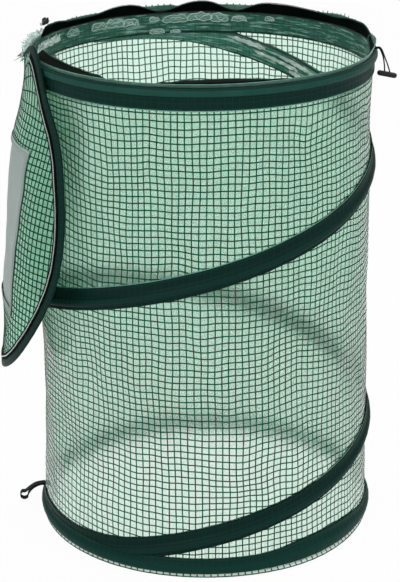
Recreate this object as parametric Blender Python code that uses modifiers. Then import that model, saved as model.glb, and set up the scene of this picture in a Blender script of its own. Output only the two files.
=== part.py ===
"""Pop-up mini greenhouse, at rest: a sprung coil in sewn sleeves holds up a clear film cylinder,
whose round zip-off lid hangs open down one side. Metres, +Z up, origin on the axis at the floor.
The front is -Y, the lid's hinge is at -X and the carrying toggle near +X."""
import math

import bmesh
import bpy
from mathutils import Matrix, Vector

# Overall sizes
HEIGHT = 0.657
BASE_R = 0.2265
RIM_DRAW_IN = 0.0045
RIM_R = BASE_R - RIM_DRAW_IN
STATIONS = 48

# Stock that the pieces are cut from
FILM = 0.0005
TAPE = 0.0008
WIRE_R = 0.00125
FERRULE_R = 0.0018
FERRULE_LENGTH = 0.016
GAP = 0.0003

# Sleeves sewn over the wire, and how far each wire lies from its band's upper edge
FILM_EDGE = 0.0030
RIM_BAND = 0.0280
RIM_WIRE_DROP = 0.0065
BASE_BAND = 0.0200
BASE_WIRE_DROP = 0.0125
SPIRAL_BAND = 0.0300
SPIRAL_WIRE_DROP = 0.0190
TUNNEL_HALF = 0.0044
HEM_HEIGHT = 0.0055
SEAM_SHARE = 0.25

# The spiral: degrees turned clockwise from the back, and the share of its fall done by then
SPIRAL_KNOTS = (
    (-45, 0.000),
    (0, 0.028),
    (90, 0.204),
    (180, 0.369),
    (270, 0.513),
    (360, 0.654),
    (450, 0.791),
    (540, 0.935),
    (575, 0.985),
    (640, 1.010),
)
SPIRAL_LEAST = 0.0037

# Zip round the rim: its ends in stations either side of the hinge, and how far it leans in
ZIP_END = 22
ZIP_SEWN = 0.0060
ZIP_FREE = 0.0125
ZIP_COIL_R = 0.0011
ZIP_STOP = (0.0028, 0.0034)
ZIP_LEAN = (
    (-165, 48),
    (-150, 54),
    (-138, 62),
    (-128, 104),
    (-118, 100),
    (-105, 64),
    (-90, 58),
    (-75, 62),
    (-62, 98),
    (-48, 110),
    (-28, 100),
    (-10, 58),
    (8, 20),
    (40, 2),
    (90, -4),
    (135, 0),
    (165, 0),
)

# The lid: a flat disc that hangs round the wall, and its distance from the axis on the way down
LID_R = 0.2182
LID_SPOKES = 48
LID_RINGS = 7
LID_TOP_DROP = 0.0040
LID_FALL = 0.993
LID_HANG = (
    (0.0, 0.0),
    (0.035, 0.0016),
    (0.07, 0.008),
    (0.15, 0.0255),
    (0.30, 0.042),
    (0.45, 0.048),
)
LID_CLEARANCE = 0.0008
BINDING_WIDTH = 0.0100
BINDING_SEAT = 0.0006
BINDING_LAP = 0.0030
BINDING_ROUND = 0.0015
LID_ZIP_WIDTH = 0.0080
LID_ZIP_START = 3
VENT_SIZE = 0.2200
VENT_DROP = 0.1100
VENT_LAP = 0.0060
VENT_FRAME = 0.0080
HINGE_HALF = 1.5
HINGE_LAP = 0.0080
HINGE_FOLD = 0.0035
HINGE_TURN_DOWN = 0.0010
HINGE_FLARE = 0.0006

# Slider and pull
SLIDER_STATION = 21.5
SLIDER_LENGTH = 0.0110
SLIDER_HEIGHT = 0.0080
SLIDER_PLATE = 0.0010
SLIDER_GAP = 0.0030
SLIDER_BEVEL = 0.0008
SLIDER_NOSE = 0.0012
WEDGE_INSET = 0.0010
WEDGE_LENGTH = 0.0035
BRIDGE_WIRE = 0.0006
BRIDGE_SPAN = 0.0070
BRIDGE_RISE = 0.0030
PULL_LENGTH = 0.0190
PULL_WIDTH = 0.0056
PULL_SLOT = (0.0052, 0.0024)
PULL_THICK = 0.0009
PULL_EDGE = 0.0006

# Carrying toggle on its cord, and the webbing tab at the foot
TOGGLE_AZIMUTH = -6.0
TOGGLE_BAR = 0.0260
TOGGLE_BAR_R = 0.0035
TOGGLE_REACH = 0.0127
TOGGLE_DROP = 0.0355
TOGGLE_TILT = 10.0
TOGGLE_HOLES = 0.0066
CORD_R = 0.0009
STRAP_AZIMUTH = -174.0
STRAP_WIDTH = 0.0100
STRAP_THICK = 0.0012
STRAP_RISE = 0.0119
STRAP_REACH = 0.0300
STRAP_DROP = 0.0170
STRAP_EYE = 0.0056

# Values worked out from those
STEP = 360.0 / STATIONS
TUNNEL = 2 * FERRULE_R + 2 * GAP
RIM_BAND_TOP = HEIGHT - FILM_EDGE
RIM_BAND_LOW = RIM_BAND_TOP - RIM_BAND
RIM_WIRE_Z = RIM_BAND_TOP - RIM_WIRE_DROP
FLOOR_TOP = FILM
BASE_BAND_LOW = FLOOR_TOP + GAP + HEM_HEIGHT + GAP
BASE_BAND_TOP = BASE_BAND_LOW + BASE_BAND
BASE_WIRE_Z = BASE_BAND_TOP - BASE_WIRE_DROP
SPIRAL_START_Z = (RIM_BAND_TOP + RIM_BAND_LOW) / 2
SPIRAL_END_Z = (BASE_BAND_TOP + BASE_BAND_LOW) / 2
ZIP_FOLD_Z = HEIGHT + GAP
LID_TOP_Z = HEIGHT - LID_TOP_DROP


def clear_scene():
    for thing in list(bpy.data.objects):
        bpy.data.objects.remove(thing, do_unlink=True)


def new_collection(name):
    made = bpy.data.collections.new(name)
    bpy.context.scene.collection.children.link(made)
    return made


clear_scene()
PARTS = new_collection("mini_greenhouse")
CUTTERS = new_collection("cutters")


def material(name, colour, roughness, metallic=0.0, alpha=1.0):
    made = bpy.data.materials.new(name)
    made.use_nodes = True
    shader = made.node_tree.nodes["Principled BSDF"]
    shader.inputs["Base Color"].default_value = (*colour, 1.0)
    shader.inputs["Roughness"].default_value = roughness
    shader.inputs["Metallic"].default_value = metallic
    shader.inputs["Alpha"].default_value = alpha
    made.diffuse_color = (*colour, alpha)
    return made


GREEN_TAPE = (0.006, 0.030, 0.024)
PALE_FILM = (0.52, 0.78, 0.66)
BLACK_TAPE = (0.006, 0.009, 0.008)
STEEL = (0.48, 0.49, 0.50)
PALE_COIL = (0.55, 0.62, 0.58)
GREY_MESH = (0.36, 0.43, 0.41)
BLACK_PLASTIC = (0.010, 0.014, 0.012)


def place(obj, colour, roughness, metallic=0.0, alpha=1.0, smooth=40.0):
    """Puts a finished object among the parts, with its own material and smooth shading."""
    for held in list(obj.users_collection):
        held.objects.unlink(obj)
    PARTS.objects.link(obj)
    obj.data.materials.clear()
    obj.data.materials.append(material(obj.name + "_finish", colour, roughness, metallic, alpha))
    if obj.type == "MESH":
        obj.data.shade_smooth()
        obj.data.set_sharp_from_angle(angle=math.radians(smooth))
    return obj


def object_from(bm, name):
    mesh = bpy.data.meshes.new(name)
    bmesh.ops.recalc_face_normals(bm, faces=bm.faces[:])
    bm.to_mesh(mesh)
    bm.free()
    return bpy.data.objects.new(name, mesh)


def smooth(knots, x):
    """The height at x of a curve through the knots, with no overshoot between them."""
    knots = list(knots)
    if x <= knots[0][0]:
        return knots[0][1]
    for i in range(len(knots) - 1):
        (x0, y0), (x1, y1) = knots[i], knots[i + 1]
        if x > x1:
            continue
        before = knots[max(i - 1, 0)]
        after = knots[min(i + 2, len(knots) - 1)]
        rise = (y1 - y0) / (x1 - x0)
        slopes = []
        for a, b in ((before, (x1, y1)), ((x0, y0), after)):
            slope = (b[1] - a[1]) / (b[0] - a[0])
            low, high = sorted((0.0, 3 * rise))
            slopes.append(min(max(slope, low), high))
        t = (x - x0) / (x1 - x0)
        width = x1 - x0
        return (
            y0 * (1 + 2 * t) * (1 - t) ** 2
            + slopes[0] * width * t * (1 - t) ** 2
            + y1 * t * t * (3 - 2 * t)
            - slopes[1] * width * t * t * (1 - t)
        )
    return knots[-1][1]


def spline(points, count):
    """A smooth path through 3-D points, at equal steps of its parameter."""
    points = [Vector(p) for p in points]
    found = []
    for k in range(count + 1):
        s = k * (len(points) - 1) / count
        i = min(int(s), len(points) - 2)
        t = s - i
        a, b, c, d = (points[max(min(j, len(points) - 1), 0)] for j in range(i - 1, i + 3))
        square = (2 * a - 5 * b + 4 * c - d) * t**2
        cube = (3 * b - a - 3 * c + d) * t**3
        found.append(0.5 * (2 * b + (c - a) * t + square + cube))
    return found


def wall_r(z):
    """The film's outer radius at a height: the wall draws in a little towards the rim."""
    return BASE_R + (RIM_R - BASE_R) * z / HEIGHT


def at(azimuth, r, z):
    turn = math.radians(azimuth)
    return Vector((r * math.cos(turn), r * math.sin(turn), z))


def frame_at(azimuth, r, z):
    """A frame at a point of the wall: X outward, Y anticlockwise along the wall, Z up."""
    return Matrix.Translation(at(azimuth, r, z)) @ Matrix.Rotation(math.radians(azimuth), 4, "Z")


def turned(name, profile, **finish):
    """A closed outline of (radius, height) points, outer side first from the top, turned about Z."""
    bm = bmesh.new()
    points = [bm.verts.new((r, 0, z)) for r, z in profile]
    for a, b in zip(points, points[1:] + points[:1]):
        bm.edges.new((a, b))
    mesh = bpy.data.meshes.new(name)
    bm.to_mesh(mesh)
    bm.free()
    obj = bpy.data.objects.new(name, mesh)
    turn = obj.modifiers.new("turn", "SCREW")
    turn.axis = "Z"
    turn.steps = STATIONS
    turn.render_steps = STATIONS
    turn.use_smooth_shade = True
    return place(obj, **finish)


def loft(name, sections, **finish):
    """A solid through equal-length outlines, with its two ends closed."""
    bm = bmesh.new()
    rings = [[bm.verts.new(p) for p in section] for section in sections]
    for a, b in zip(rings, rings[1:]):
        for i in range(len(a)):
            j = (i + 1) % len(a)
            bm.faces.new((a[i], a[j], b[j], b[i]))
    bm.faces.new(rings[0])
    bm.faces.new(rings[-1])
    bmesh.ops.triangulate(bm, faces=[f for f in bm.faces if len(f.verts) > 4])
    return place(object_from(bm, name), **finish)


def tube(name, points, radius, closed=False, **finish):
    curve = bpy.data.curves.new(name, "CURVE")
    curve.dimensions = "3D"
    curve.bevel_depth = radius
    curve.bevel_resolution = 1
    curve.use_fill_caps = True
    line = curve.splines.new("POLY")
    line.points.add(len(points) - 1)
    for point, co in zip(line.points, points):
        point.co = (*co, 1.0)
    line.use_cyclic_u = closed
    return place(bpy.data.objects.new(name, curve), **finish)


def pivot(name, where, pieces):
    """An empty on a joint's axis, which carries the pieces that the joint moves."""
    empty = bpy.data.objects.new(name, None)
    empty.location = where
    PARTS.objects.link(empty)
    for piece in pieces:
        piece.parent = empty
        piece.matrix_parent_inverse = Matrix.Translation(-where)


def cut(obj, cutter):
    """Takes a cutter's shape out of an object."""
    for held in list(cutter.users_collection):
        held.objects.unlink(cutter)
    CUTTERS.objects.link(cutter)
    cutter.hide_render = True
    cutter.display_type = "WIRE"
    taken = obj.modifiers.new(cutter.name, "BOOLEAN")
    taken.operation = "DIFFERENCE"
    taken.object = cutter


def sleeve(low, high, wire_z, fullness=1.0):
    """The outline of a tape sewn down along both edges, with a tunnel for the wire between them."""
    half = TUNNEL_HALF * fullness
    rise = TUNNEL * fullness
    crown = 0.4 * half
    side = half + 0.7 * TAPE
    outer = [
        (TAPE, high),
        (TAPE, wire_z + side),
        (TAPE + rise, wire_z + crown),
        (TAPE + rise, wire_z - crown),
        (TAPE, wire_z - side),
        (TAPE, low),
    ]
    inner = [
        (0, low),
        (0, wire_z - half),
        (rise, wire_z - crown),
        (rise, wire_z + crown),
        (0, wire_z + half),
        (0, high),
    ]
    return [(wall_r(z) + GAP + out, z) for out, z in outer + inner]


def wire_r(z):
    return wall_r(z) + GAP + TUNNEL / 2


def hoop(name, z):
    points = [at(k * STEP, wire_r(z), z) for k in range(STATIONS)]
    return tube(name, points, WIRE_R, closed=True, colour=STEEL, roughness=0.35, metallic=1.0)


def ferrule(name, station, z):
    """The crimped sleeve that closes a wire hoop, on the middle of one straight of it."""
    bm = bmesh.new()
    bmesh.ops.create_cone(
        bm, cap_ends=True, segments=12, radius1=FERRULE_R, radius2=FERRULE_R, depth=FERRULE_LENGTH
    )
    bore = bmesh.new()
    loose = WIRE_R + GAP / 2
    bmesh.ops.create_cone(
        bore, cap_ends=True, segments=12, radius1=loose, radius2=loose, depth=2 * FERRULE_LENGTH
    )
    flat = wire_r(z) * math.cos(math.radians(STEP / 2))
    seat = frame_at(station * STEP, flat, z) @ Matrix.Rotation(math.radians(90), 4, "X")
    for shape in (bm, bore):
        bmesh.ops.transform(shape, matrix=seat, verts=shape.verts[:])
    obj = place(object_from(bm, name), colour=STEEL, roughness=0.3, metallic=1.0)
    cut(obj, object_from(bore, name + "_bore"))
    return obj


def build_wall():
    """The film cylinder, its one upright seam, the floor and the hem that joins the two."""
    low, high = FLOOR_TOP + GAP, RIM_BAND_LOW - GAP
    outline = [
        (wall_r(high), high),
        (wall_r(low), low),
        (wall_r(low) - FILM, low),
        (wall_r(high) - FILM, high),
    ]
    turned("cover_wall", outline, colour=PALE_FILM, roughness=0.25, alpha=0.45)
    sections = []
    for share, other in ((SEAM_SHARE, -1), (0.0, 1), (SEAM_SHARE, 1)):
        corners = []
        for z, back in ((low, 0), (high, 0), (high, TAPE), (low, TAPE)):
            r = wall_r(z) - FILM - GAP - back
            corners.append(at(180, r, z).lerp(at(180 + other * STEP, r, z), share))
        sections.append(corners)
    loft("wall_seam", sections, colour=PALE_FILM, roughness=0.35, alpha=0.7)
    bm = bmesh.new()
    floor_r = BASE_R + GAP + TAPE
    bmesh.ops.create_cone(
        bm, cap_ends=True, segments=STATIONS, radius1=floor_r, radius2=floor_r, depth=FILM
    )
    bmesh.ops.translate(bm, vec=(0, 0, FILM / 2), verts=bm.verts[:])
    place(object_from(bm, "floor_sheet"), colour=PALE_FILM, roughness=0.3, alpha=0.6)
    top = low + HEM_HEIGHT
    inner = BASE_R + GAP
    hem = [(inner + TAPE, top), (inner + TAPE, low), (inner, low), (inner, top)]
    turned("floor_hem", hem, colour=(0.05, 0.16, 0.12), roughness=0.5)


def spiral_z(turned_by):
    """Height of the spiral band's centre after turning clockwise from the back."""
    return SPIRAL_START_Z - (SPIRAL_START_Z - SPIRAL_END_Z) * smooth(SPIRAL_KNOTS, turned_by)


def build_spiral():
    """The coil between the hoops, in its own sleeve, which is cut to run into both bands."""
    top_limit, low_limit = RIM_BAND_LOW - GAP, BASE_BAND_TOP + GAP
    sections, wire = [], []
    first = int(SPIRAL_KNOTS[0][0] / STEP)
    last = int(SPIRAL_KNOTS[-1][0] / STEP)
    for k in range(first, last + 1):
        centre = spiral_z(k * STEP)
        high = min(centre + SPIRAL_BAND / 2, top_limit)
        low = max(centre - SPIRAL_BAND / 2, low_limit)
        if high - low < SPIRAL_LEAST:
            continue
        line = centre + SPIRAL_BAND / 2 - SPIRAL_WIRE_DROP
        room = min(high - line, line - low) - TAPE
        middle = line
        if room < TUNNEL_HALF:
            middle = min(max(line, low + 0.35 * (high - low)), high - 0.35 * (high - low))
            room = min(high - middle, middle - low) - TAPE
        fullness = max(min(room / TUNNEL_HALF, 1.0), 0.15)
        azimuth = 90 - k * STEP
        sections.append([at(azimuth, r, z) for r, z in sleeve(low, high, middle, fullness)])
        if fullness == 1.0 and middle == line:
            wire.append(at(azimuth, wire_r(line), line))
    loft("spiral_tape", sections, colour=GREEN_TAPE, roughness=0.45)
    tube("spiral_wire", wire, WIRE_R, colour=STEEL, roughness=0.35, metallic=1.0)
    apart = min(
        (a - b).length for i, a in enumerate(wire) for b in wire[i + STATIONS // 2 :]
    )
    turns = len(wire) / STATIONS
    print(f"spiral wire: {turns:.2f} turns, least gap to itself {1000 * (apart - 2 * WIRE_R):.1f} mm")


def build_hoops():
    """The base and rim hoops, each a closed wire in a sleeve, and the film collar inside the rim's."""
    hoop("base_hoop_wire", BASE_WIRE_Z)
    ferrule("base_ferrule", 11.5, BASE_WIRE_Z)
    turned("base_tape", sleeve(BASE_BAND_LOW, BASE_BAND_TOP, BASE_WIRE_Z), colour=GREEN_TAPE, roughness=0.45)
    hoop("rim_hoop_wire", RIM_WIRE_Z)
    ferrule("rim_ferrule", 13.5, RIM_WIRE_Z)
    turned("rim_tape", sleeve(RIM_BAND_LOW, RIM_BAND_TOP, RIM_WIRE_Z), colour=GREEN_TAPE, roughness=0.45)
    low = RIM_BAND_LOW
    collar = [
        (wall_r(HEIGHT), HEIGHT),
        (wall_r(low), low),
        (wall_r(low) - FILM, low),
        (wall_r(HEIGHT) - FILM, HEIGHT),
    ]
    turned("rim_collar", collar, colour=PALE_FILM, roughness=0.25, alpha=0.6)


def zip_line(azimuth):
    """The rim zip tape's sewn edge, fold and free edge, as (radius, height), and its lean's direction."""
    lean = math.radians(smooth_lean(azimuth))
    r = wall_r(HEIGHT) - FILM - GAP - TAPE / 2
    away = Vector((-math.sin(lean), math.cos(lean)))
    foot = Vector((r, ZIP_FOLD_Z - ZIP_SEWN))
    fold = Vector((r, ZIP_FOLD_Z + TAPE))
    return foot, fold, fold + ZIP_FREE * away, away


def smooth_lean(azimuth):
    """The zip tape's lean at an azimuth, eased between the knots."""
    for (a, x), (b, y) in zip(ZIP_LEAN, ZIP_LEAN[1:]):
        if azimuth <= b:
            t = (azimuth - a) / (b - a)
            return x + (y - x) * t * t * (3 - 2 * t)
    return ZIP_LEAN[-1][1]


def build_rim_zip():
    """The zip half sewn inside the rim: tape, coil along its free edge, a stop at each end."""
    sections, coil = [], []
    for k in range(-ZIP_END, ZIP_END + 1):
        azimuth = k * STEP
        foot, fold, edge, away = zip_line(azimuth)
        across = Vector((away.y, -away.x)) * TAPE / 2
        bend = (Vector((TAPE / 2, 0)) + across).normalized()
        bend *= TAPE / 2 / max(bend.dot(across.normalized()), 0.5)
        upright = Vector((TAPE / 2, 0))
        outline = [foot + upright, fold + bend, edge + across, edge - across, fold - bend, foot - upright]
        sections.append([at(azimuth, p.x, p.y) for p in outline])
        centre = edge + (GAP + ZIP_COIL_R) * away
        coil.append(at(azimuth, centre.x, centre.y))
    loft("rim_zip_tape", sections, colour=BLACK_TAPE, roughness=0.6)
    inset = ZIP_STOP[0] + 2 * GAP
    for end, step in ((0, 1), (-1, -1)):
        coil[end] = coil[end] + (coil[end + step] - coil[end]).normalized() * inset
    tube("rim_zip_coil", coil, ZIP_COIL_R, colour=PALE_COIL, roughness=0.4)
    for name, end, side in (("rim_zip_stop_rear", ZIP_END, -1), ("rim_zip_stop_front", -ZIP_END, 1)):
        azimuth = end * STEP
        foot, fold, edge, away = zip_line(azimuth)
        centre = edge + (GAP + ZIP_STOP[1] / 2) * away
        bm = bmesh.new()
        bmesh.ops.create_cube(bm, size=1.0)
        bmesh.ops.scale(bm, vec=(ZIP_STOP[1], ZIP_STOP[0], ZIP_STOP[1]), verts=bm.verts[:])
        lean = Matrix.Rotation(-math.atan2(-away.x, away.y), 4, "Y")
        shift = Matrix.Translation((0, side * ZIP_STOP[0] / 2, 0))
        seat = frame_at(azimuth, centre.x, centre.y) @ shift @ lean
        bmesh.ops.transform(bm, matrix=seat, verts=bm.verts[:])
        place(object_from(bm, name), colour=STEEL, roughness=0.4, metallic=1.0)


def lid_point(u, v, h):
    """A point of the hanging lid: u along the wall, v down from the hinge, h off its middle surface."""
    inner = RIM_R + GAP + TUNNEL + TAPE + LID_CLEARANCE + binding_half()
    r = inner + smooth(LID_HANG, v)
    return at(180 + math.degrees(u / r), r + h, LID_TOP_Z - v * LID_FALL)


def binding_half():
    return FILM / 2 + BINDING_SEAT + TAPE


def drape(bm):
    """Hangs a lid piece that was laid flat, with its centre at the origin and the hinge at +Y."""
    for vert in bm.verts:
        u, w, h = vert.co
        vert.co = lid_point(u, LID_R - w, h)


def spun(profile, name, closed, **finish):
    """A flat lid piece: an outline of (radius, offset) points spun about the disc's centre, then hung."""
    bm = bmesh.new()
    points = [bm.verts.new((0, r, h)) for r, h in profile]
    pairs = zip(points, points[1:] + points[:1]) if closed else zip(points, points[1:])
    line = [bm.edges.new(pair) for pair in pairs]
    bmesh.ops.spin(
        bm,
        geom=points + line,
        cent=(0, 0, 0),
        axis=(0, 0, 1),
        angle=2 * math.pi,
        steps=LID_SPOKES,
        use_merge=True,
    )
    bmesh.ops.remove_doubles(bm, verts=bm.verts[:], dist=1e-6)
    drape(bm)
    return place(object_from(bm, name), **finish)


def build_lid():
    """The lid's film, binding, vent and zip half, and the strip that hinges it to the rim."""
    film_r = LID_R - BINDING_WIDTH + BINDING_LAP
    tape_out = LID_R - BINDING_WIDTH - GAP
    tape_in = tape_out - LID_ZIP_WIDTH
    rings = [(tape_in - GAP) * k / LID_RINGS for k in range(LID_RINGS + 1)] + [film_r]
    flat = [(r, 0.0) for r in rings]
    panel = spun(flat, "lid_panel", False, colour=PALE_FILM, roughness=0.25, alpha=0.5)
    shell = panel.modifiers.new("film", "SOLIDIFY")
    shell.thickness = FILM
    shell.offset = 0.0
    half = VENT_SIZE / 2
    bm = bmesh.new()
    bmesh.ops.create_cube(bm, size=1.0)
    top = LID_TOP_Z - VENT_DROP * LID_FALL
    low = LID_TOP_Z - (VENT_DROP + VENT_SIZE) * LID_FALL
    bmesh.ops.scale(bm, vec=(LID_R, 2 * half * 0.97, top - low), verts=bm.verts[:])
    bmesh.ops.translate(bm, vec=(-RIM_R - LID_R / 4, 0, (top + low) / 2), verts=bm.verts[:])
    cut(panel, object_from(bm, "vent_opening"))

    bm = bmesh.new()
    bmesh.ops.create_grid(bm, x_segments=12, y_segments=10, size=1.0)
    reach = half + VENT_LAP
    bmesh.ops.scale(bm, vec=(reach, reach, 1), verts=bm.verts[:])
    behind = -(FILM / 2 + 3 * GAP + FILM / 2)
    bmesh.ops.translate(bm, vec=(0, LID_R - VENT_DROP - half, behind), verts=bm.verts[:])
    drape(bm)
    mesh = place(object_from(bm, "vent_mesh"), colour=GREY_MESH, roughness=0.6, alpha=0.8)
    shell = mesh.modifiers.new("weave", "SOLIDIFY")
    shell.thickness = FILM
    shell.offset = 0.0

    bm = bmesh.new()
    bmesh.ops.create_grid(bm, x_segments=12, y_segments=10, size=1.0)
    outer = half + VENT_FRAME / 2
    bmesh.ops.scale(bm, vec=(outer, outer, 1), verts=bm.verts[:])
    bmesh.ops.inset_region(
        bm, faces=bm.faces[:], thickness=VENT_FRAME, use_boundary=True, use_even_offset=True
    )
    hole = half - VENT_FRAME / 2
    gone = [f for f in bm.faces if max(abs(c) for c in f.calc_center_median()[:2]) < hole]
    bmesh.ops.delete(bm, geom=gone, context="FACES")
    ahead = FILM / 2 + 2 * GAP + TAPE / 2
    bmesh.ops.translate(bm, vec=(0, LID_R - VENT_DROP - half, ahead), verts=bm.verts[:])
    drape(bm)
    frame = place(object_from(bm, "vent_frame"), colour=(0.62, 0.68, 0.65), roughness=0.5)
    shell = frame.modifiers.new("tape", "SOLIDIFY")
    shell.thickness = TAPE
    shell.offset = 0.0

    inner, seat, half_out = LID_R - BINDING_WIDTH, FILM / 2 + BINDING_SEAT, binding_half()
    channel = film_r + 3 * GAP
    outline = [
        (inner, half_out),
        (LID_R - BINDING_ROUND, half_out),
        (LID_R, 0.0),
        (LID_R - BINDING_ROUND, -half_out),
        (inner, -half_out),
        (inner, -seat),
        (channel, -seat),
        (channel, seat),
        (inner, seat),
    ]
    spun(outline, "lid_binding", True, colour=GREEN_TAPE, roughness=0.45)

    low = FILM / 2 + 2 * GAP
    sections, coil = [], []
    for k in range(LID_ZIP_START, LID_SPOKES - LID_ZIP_START + 1):
        turn = 2 * math.pi * k / LID_SPOKES
        flat = [(tape_in, low), (tape_out, low), (tape_out, low + TAPE), (tape_in, low + TAPE)]
        sections.append([on_disc(r, turn, h) for r, h in flat])
        coil.append(on_disc((tape_in + tape_out) / 2, turn, low + TAPE + GAP + ZIP_COIL_R))
    loft("lid_zip_tape", sections, colour=BLACK_TAPE, roughness=0.6)
    tube("lid_zip_coil", coil, ZIP_COIL_R, colour=PALE_COIL, roughness=0.4)

    outside = lid_point(0, 0, half_out + GAP).x * -1
    inside = RIM_R - FILM
    path = [
        (inside, HEIGHT + GAP),
        (RIM_R + TUNNEL / 2, HEIGHT + 2 * GAP + TAPE),
        (outside - TAPE, LID_TOP_Z + 2 * GAP + TAPE),
        (outside, LID_TOP_Z - HINGE_TURN_DOWN),
        (outside + HINGE_FLARE, LID_TOP_Z - HINGE_LAP),
    ]
    outward = [Vector((0, 1)), Vector((0.25, 1)), Vector((0.8, 0.8)), Vector((1, 0.1)), Vector((1, 0))]
    sections = []
    for k in (-HINGE_HALF, -HINGE_HALF / 2, 0, HINGE_HALF / 2, HINGE_HALF):
        near = [Vector(p) for p in path]
        far = [Vector(p) + TAPE * way.normalized() for p, way in zip(path, outward)]
        outline = near + far[::-1]
        sections.append([at(180 + k * STEP, p.x, p.y) for p in outline])
    loft("lid_hinge_strip", sections, colour=GREEN_TAPE, roughness=0.45)
    fold = Vector((lid_point(0, 0, 0).x, 0, HEIGHT + HINGE_FOLD))
    hung = [piece for piece in PARTS.objects if piece.name.startswith(("lid_", "vent_"))]
    pivot("lid_hinge_axis", fold, hung)


def on_disc(r, turn, h):
    """A point of the hung lid, by its radius on the disc and its angle from the hinge."""
    return lid_point(r * math.sin(turn), LID_R - r * math.cos(turn), h)


def plate(outline, thickness, level):
    """A flat plate of (travel, height) points, from one distance off the zip's middle to another."""
    bm = bmesh.new()
    face = bm.faces.new([bm.verts.new((level, y, z)) for y, z in outline])
    grown = bmesh.ops.extrude_face_region(bm, geom=[face])
    moved = [v for v in grown["geom"] if isinstance(v, bmesh.types.BMVert)]
    bmesh.ops.translate(bm, vec=(thickness, 0, 0), verts=moved)
    return bm


def rounded(length, width, arc):
    """A long outline with round ends, centred on the origin."""
    half, r = length / 2 - width / 2, width / 2
    ends = []
    for side in (1, -1):
        for k in range(arc + 1):
            turn = math.radians(-90 + 180 * k / arc)
            ends.append((side * (half + r * math.cos(turn)), side * r * math.sin(turn)))
    return ends


def build_slider():
    """The slider astride the coil, with its wedge and bridge, and the pull that hangs on the bridge."""
    azimuth = SLIDER_STATION * STEP
    foot, fold, edge, away = zip_line(azimuth)
    flat = math.cos(math.radians(STEP / 2))
    seat = frame_at(azimuth, edge.x * flat, edge.y + GAP + ZIP_COIL_R)
    half_gap, rise = SLIDER_GAP / 2, SLIDER_HEIGHT
    low = -ZIP_COIL_R - 2 * GAP
    long, nose = SLIDER_LENGTH / 2, 0.30 * SLIDER_HEIGHT
    shield = [
        (-long, low + SLIDER_BEVEL),
        (-long + SLIDER_BEVEL, low),
        (long - SLIDER_NOSE, low),
        (long, low + nose),
        (long, low + rise - nose),
        (long - SLIDER_NOSE, low + rise),
        (-long + SLIDER_BEVEL, low + rise),
        (-long, low + rise - SLIDER_BEVEL),
    ]
    wedge_low = ZIP_COIL_R + 2 * GAP
    wedge = [
        (long - WEDGE_INSET, wedge_low),
        (long - WEDGE_INSET, low + rise - WEDGE_INSET),
        (long - WEDGE_INSET - WEDGE_LENGTH, (wedge_low + low + rise) / 2),
    ]
    shapes = {
        "zip_slider": plate(shield, SLIDER_PLATE, half_gap),
        "slider_inner_plate": plate(shield, -SLIDER_PLATE, -half_gap),
        "slider_wedge": plate(wedge, SLIDER_GAP + SLIDER_PLATE, -half_gap - SLIDER_PLATE / 2),
    }
    middle = low + rise / 2
    face = -half_gap - SLIDER_PLATE
    arch = []
    for k in range(9):
        turn = math.pi * k / 8
        rise_here = face + GAP - BRIDGE_RISE * math.sin(turn)
        arch.append((rise_here, -BRIDGE_SPAN / 2 * math.cos(turn), middle))
    bridge = tube("slider_bridge", arch, BRIDGE_WIRE, colour=STEEL, roughness=0.35)
    bpy.context.view_layer.update()
    graph = bpy.context.evaluated_depsgraph_get()
    solid = bmesh.new()
    solid.from_mesh(bpy.data.meshes.new_from_object(bridge.evaluated_get(graph)))
    bmesh.ops.remove_doubles(solid, verts=solid.verts[:], dist=1e-6)
    bpy.data.objects.remove(bridge, do_unlink=True)
    shapes["slider_bridge_wire"] = solid
    made = {}
    for name, bm in shapes.items():
        bmesh.ops.transform(bm, matrix=seat, verts=bm.verts[:])
        made[name] = object_from(bm, name)
    slider = place(made.pop("zip_slider"), colour=BLACK_PLASTIC, roughness=0.35, metallic=0.6)
    for name, other in made.items():
        CUTTERS.objects.link(other)
        other.hide_render = True
        other.display_type = "WIRE"
        joined = slider.modifiers.new(name, "BOOLEAN")
        joined.operation = "UNION"
        joined.object = other

    level = face - (BRIDGE_RISE - BRIDGE_WIRE) / 2 - PULL_THICK / 2
    head = PULL_SLOT[0] / 2 + PULL_EDGE
    tab = plate(rounded(PULL_LENGTH, PULL_WIDTH, 6), PULL_THICK, level)
    slot = plate(rounded(PULL_SLOT[0], PULL_SLOT[1], 4), 3 * PULL_THICK, level - PULL_THICK)
    bmesh.ops.translate(tab, vec=(0, PULL_LENGTH / 2 - PULL_THICK, middle), verts=tab.verts[:])
    bmesh.ops.translate(slot, vec=(0, head, middle), verts=slot.verts[:])
    for bm in (tab, slot):
        bmesh.ops.transform(bm, matrix=seat, verts=bm.verts[:])
    pull = place(object_from(tab, "zip_pull"), colour=BLACK_PLASTIC, roughness=0.35, metallic=0.6)
    cut(pull, object_from(slot, "pull_slot"))
    pin = seat @ Vector((level + PULL_THICK / 2, 0, middle))
    pivot("zip_travel_axis", Vector((0, 0, pin.z)), [slider])
    pivot("pull_axis", pin, [pull])


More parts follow.
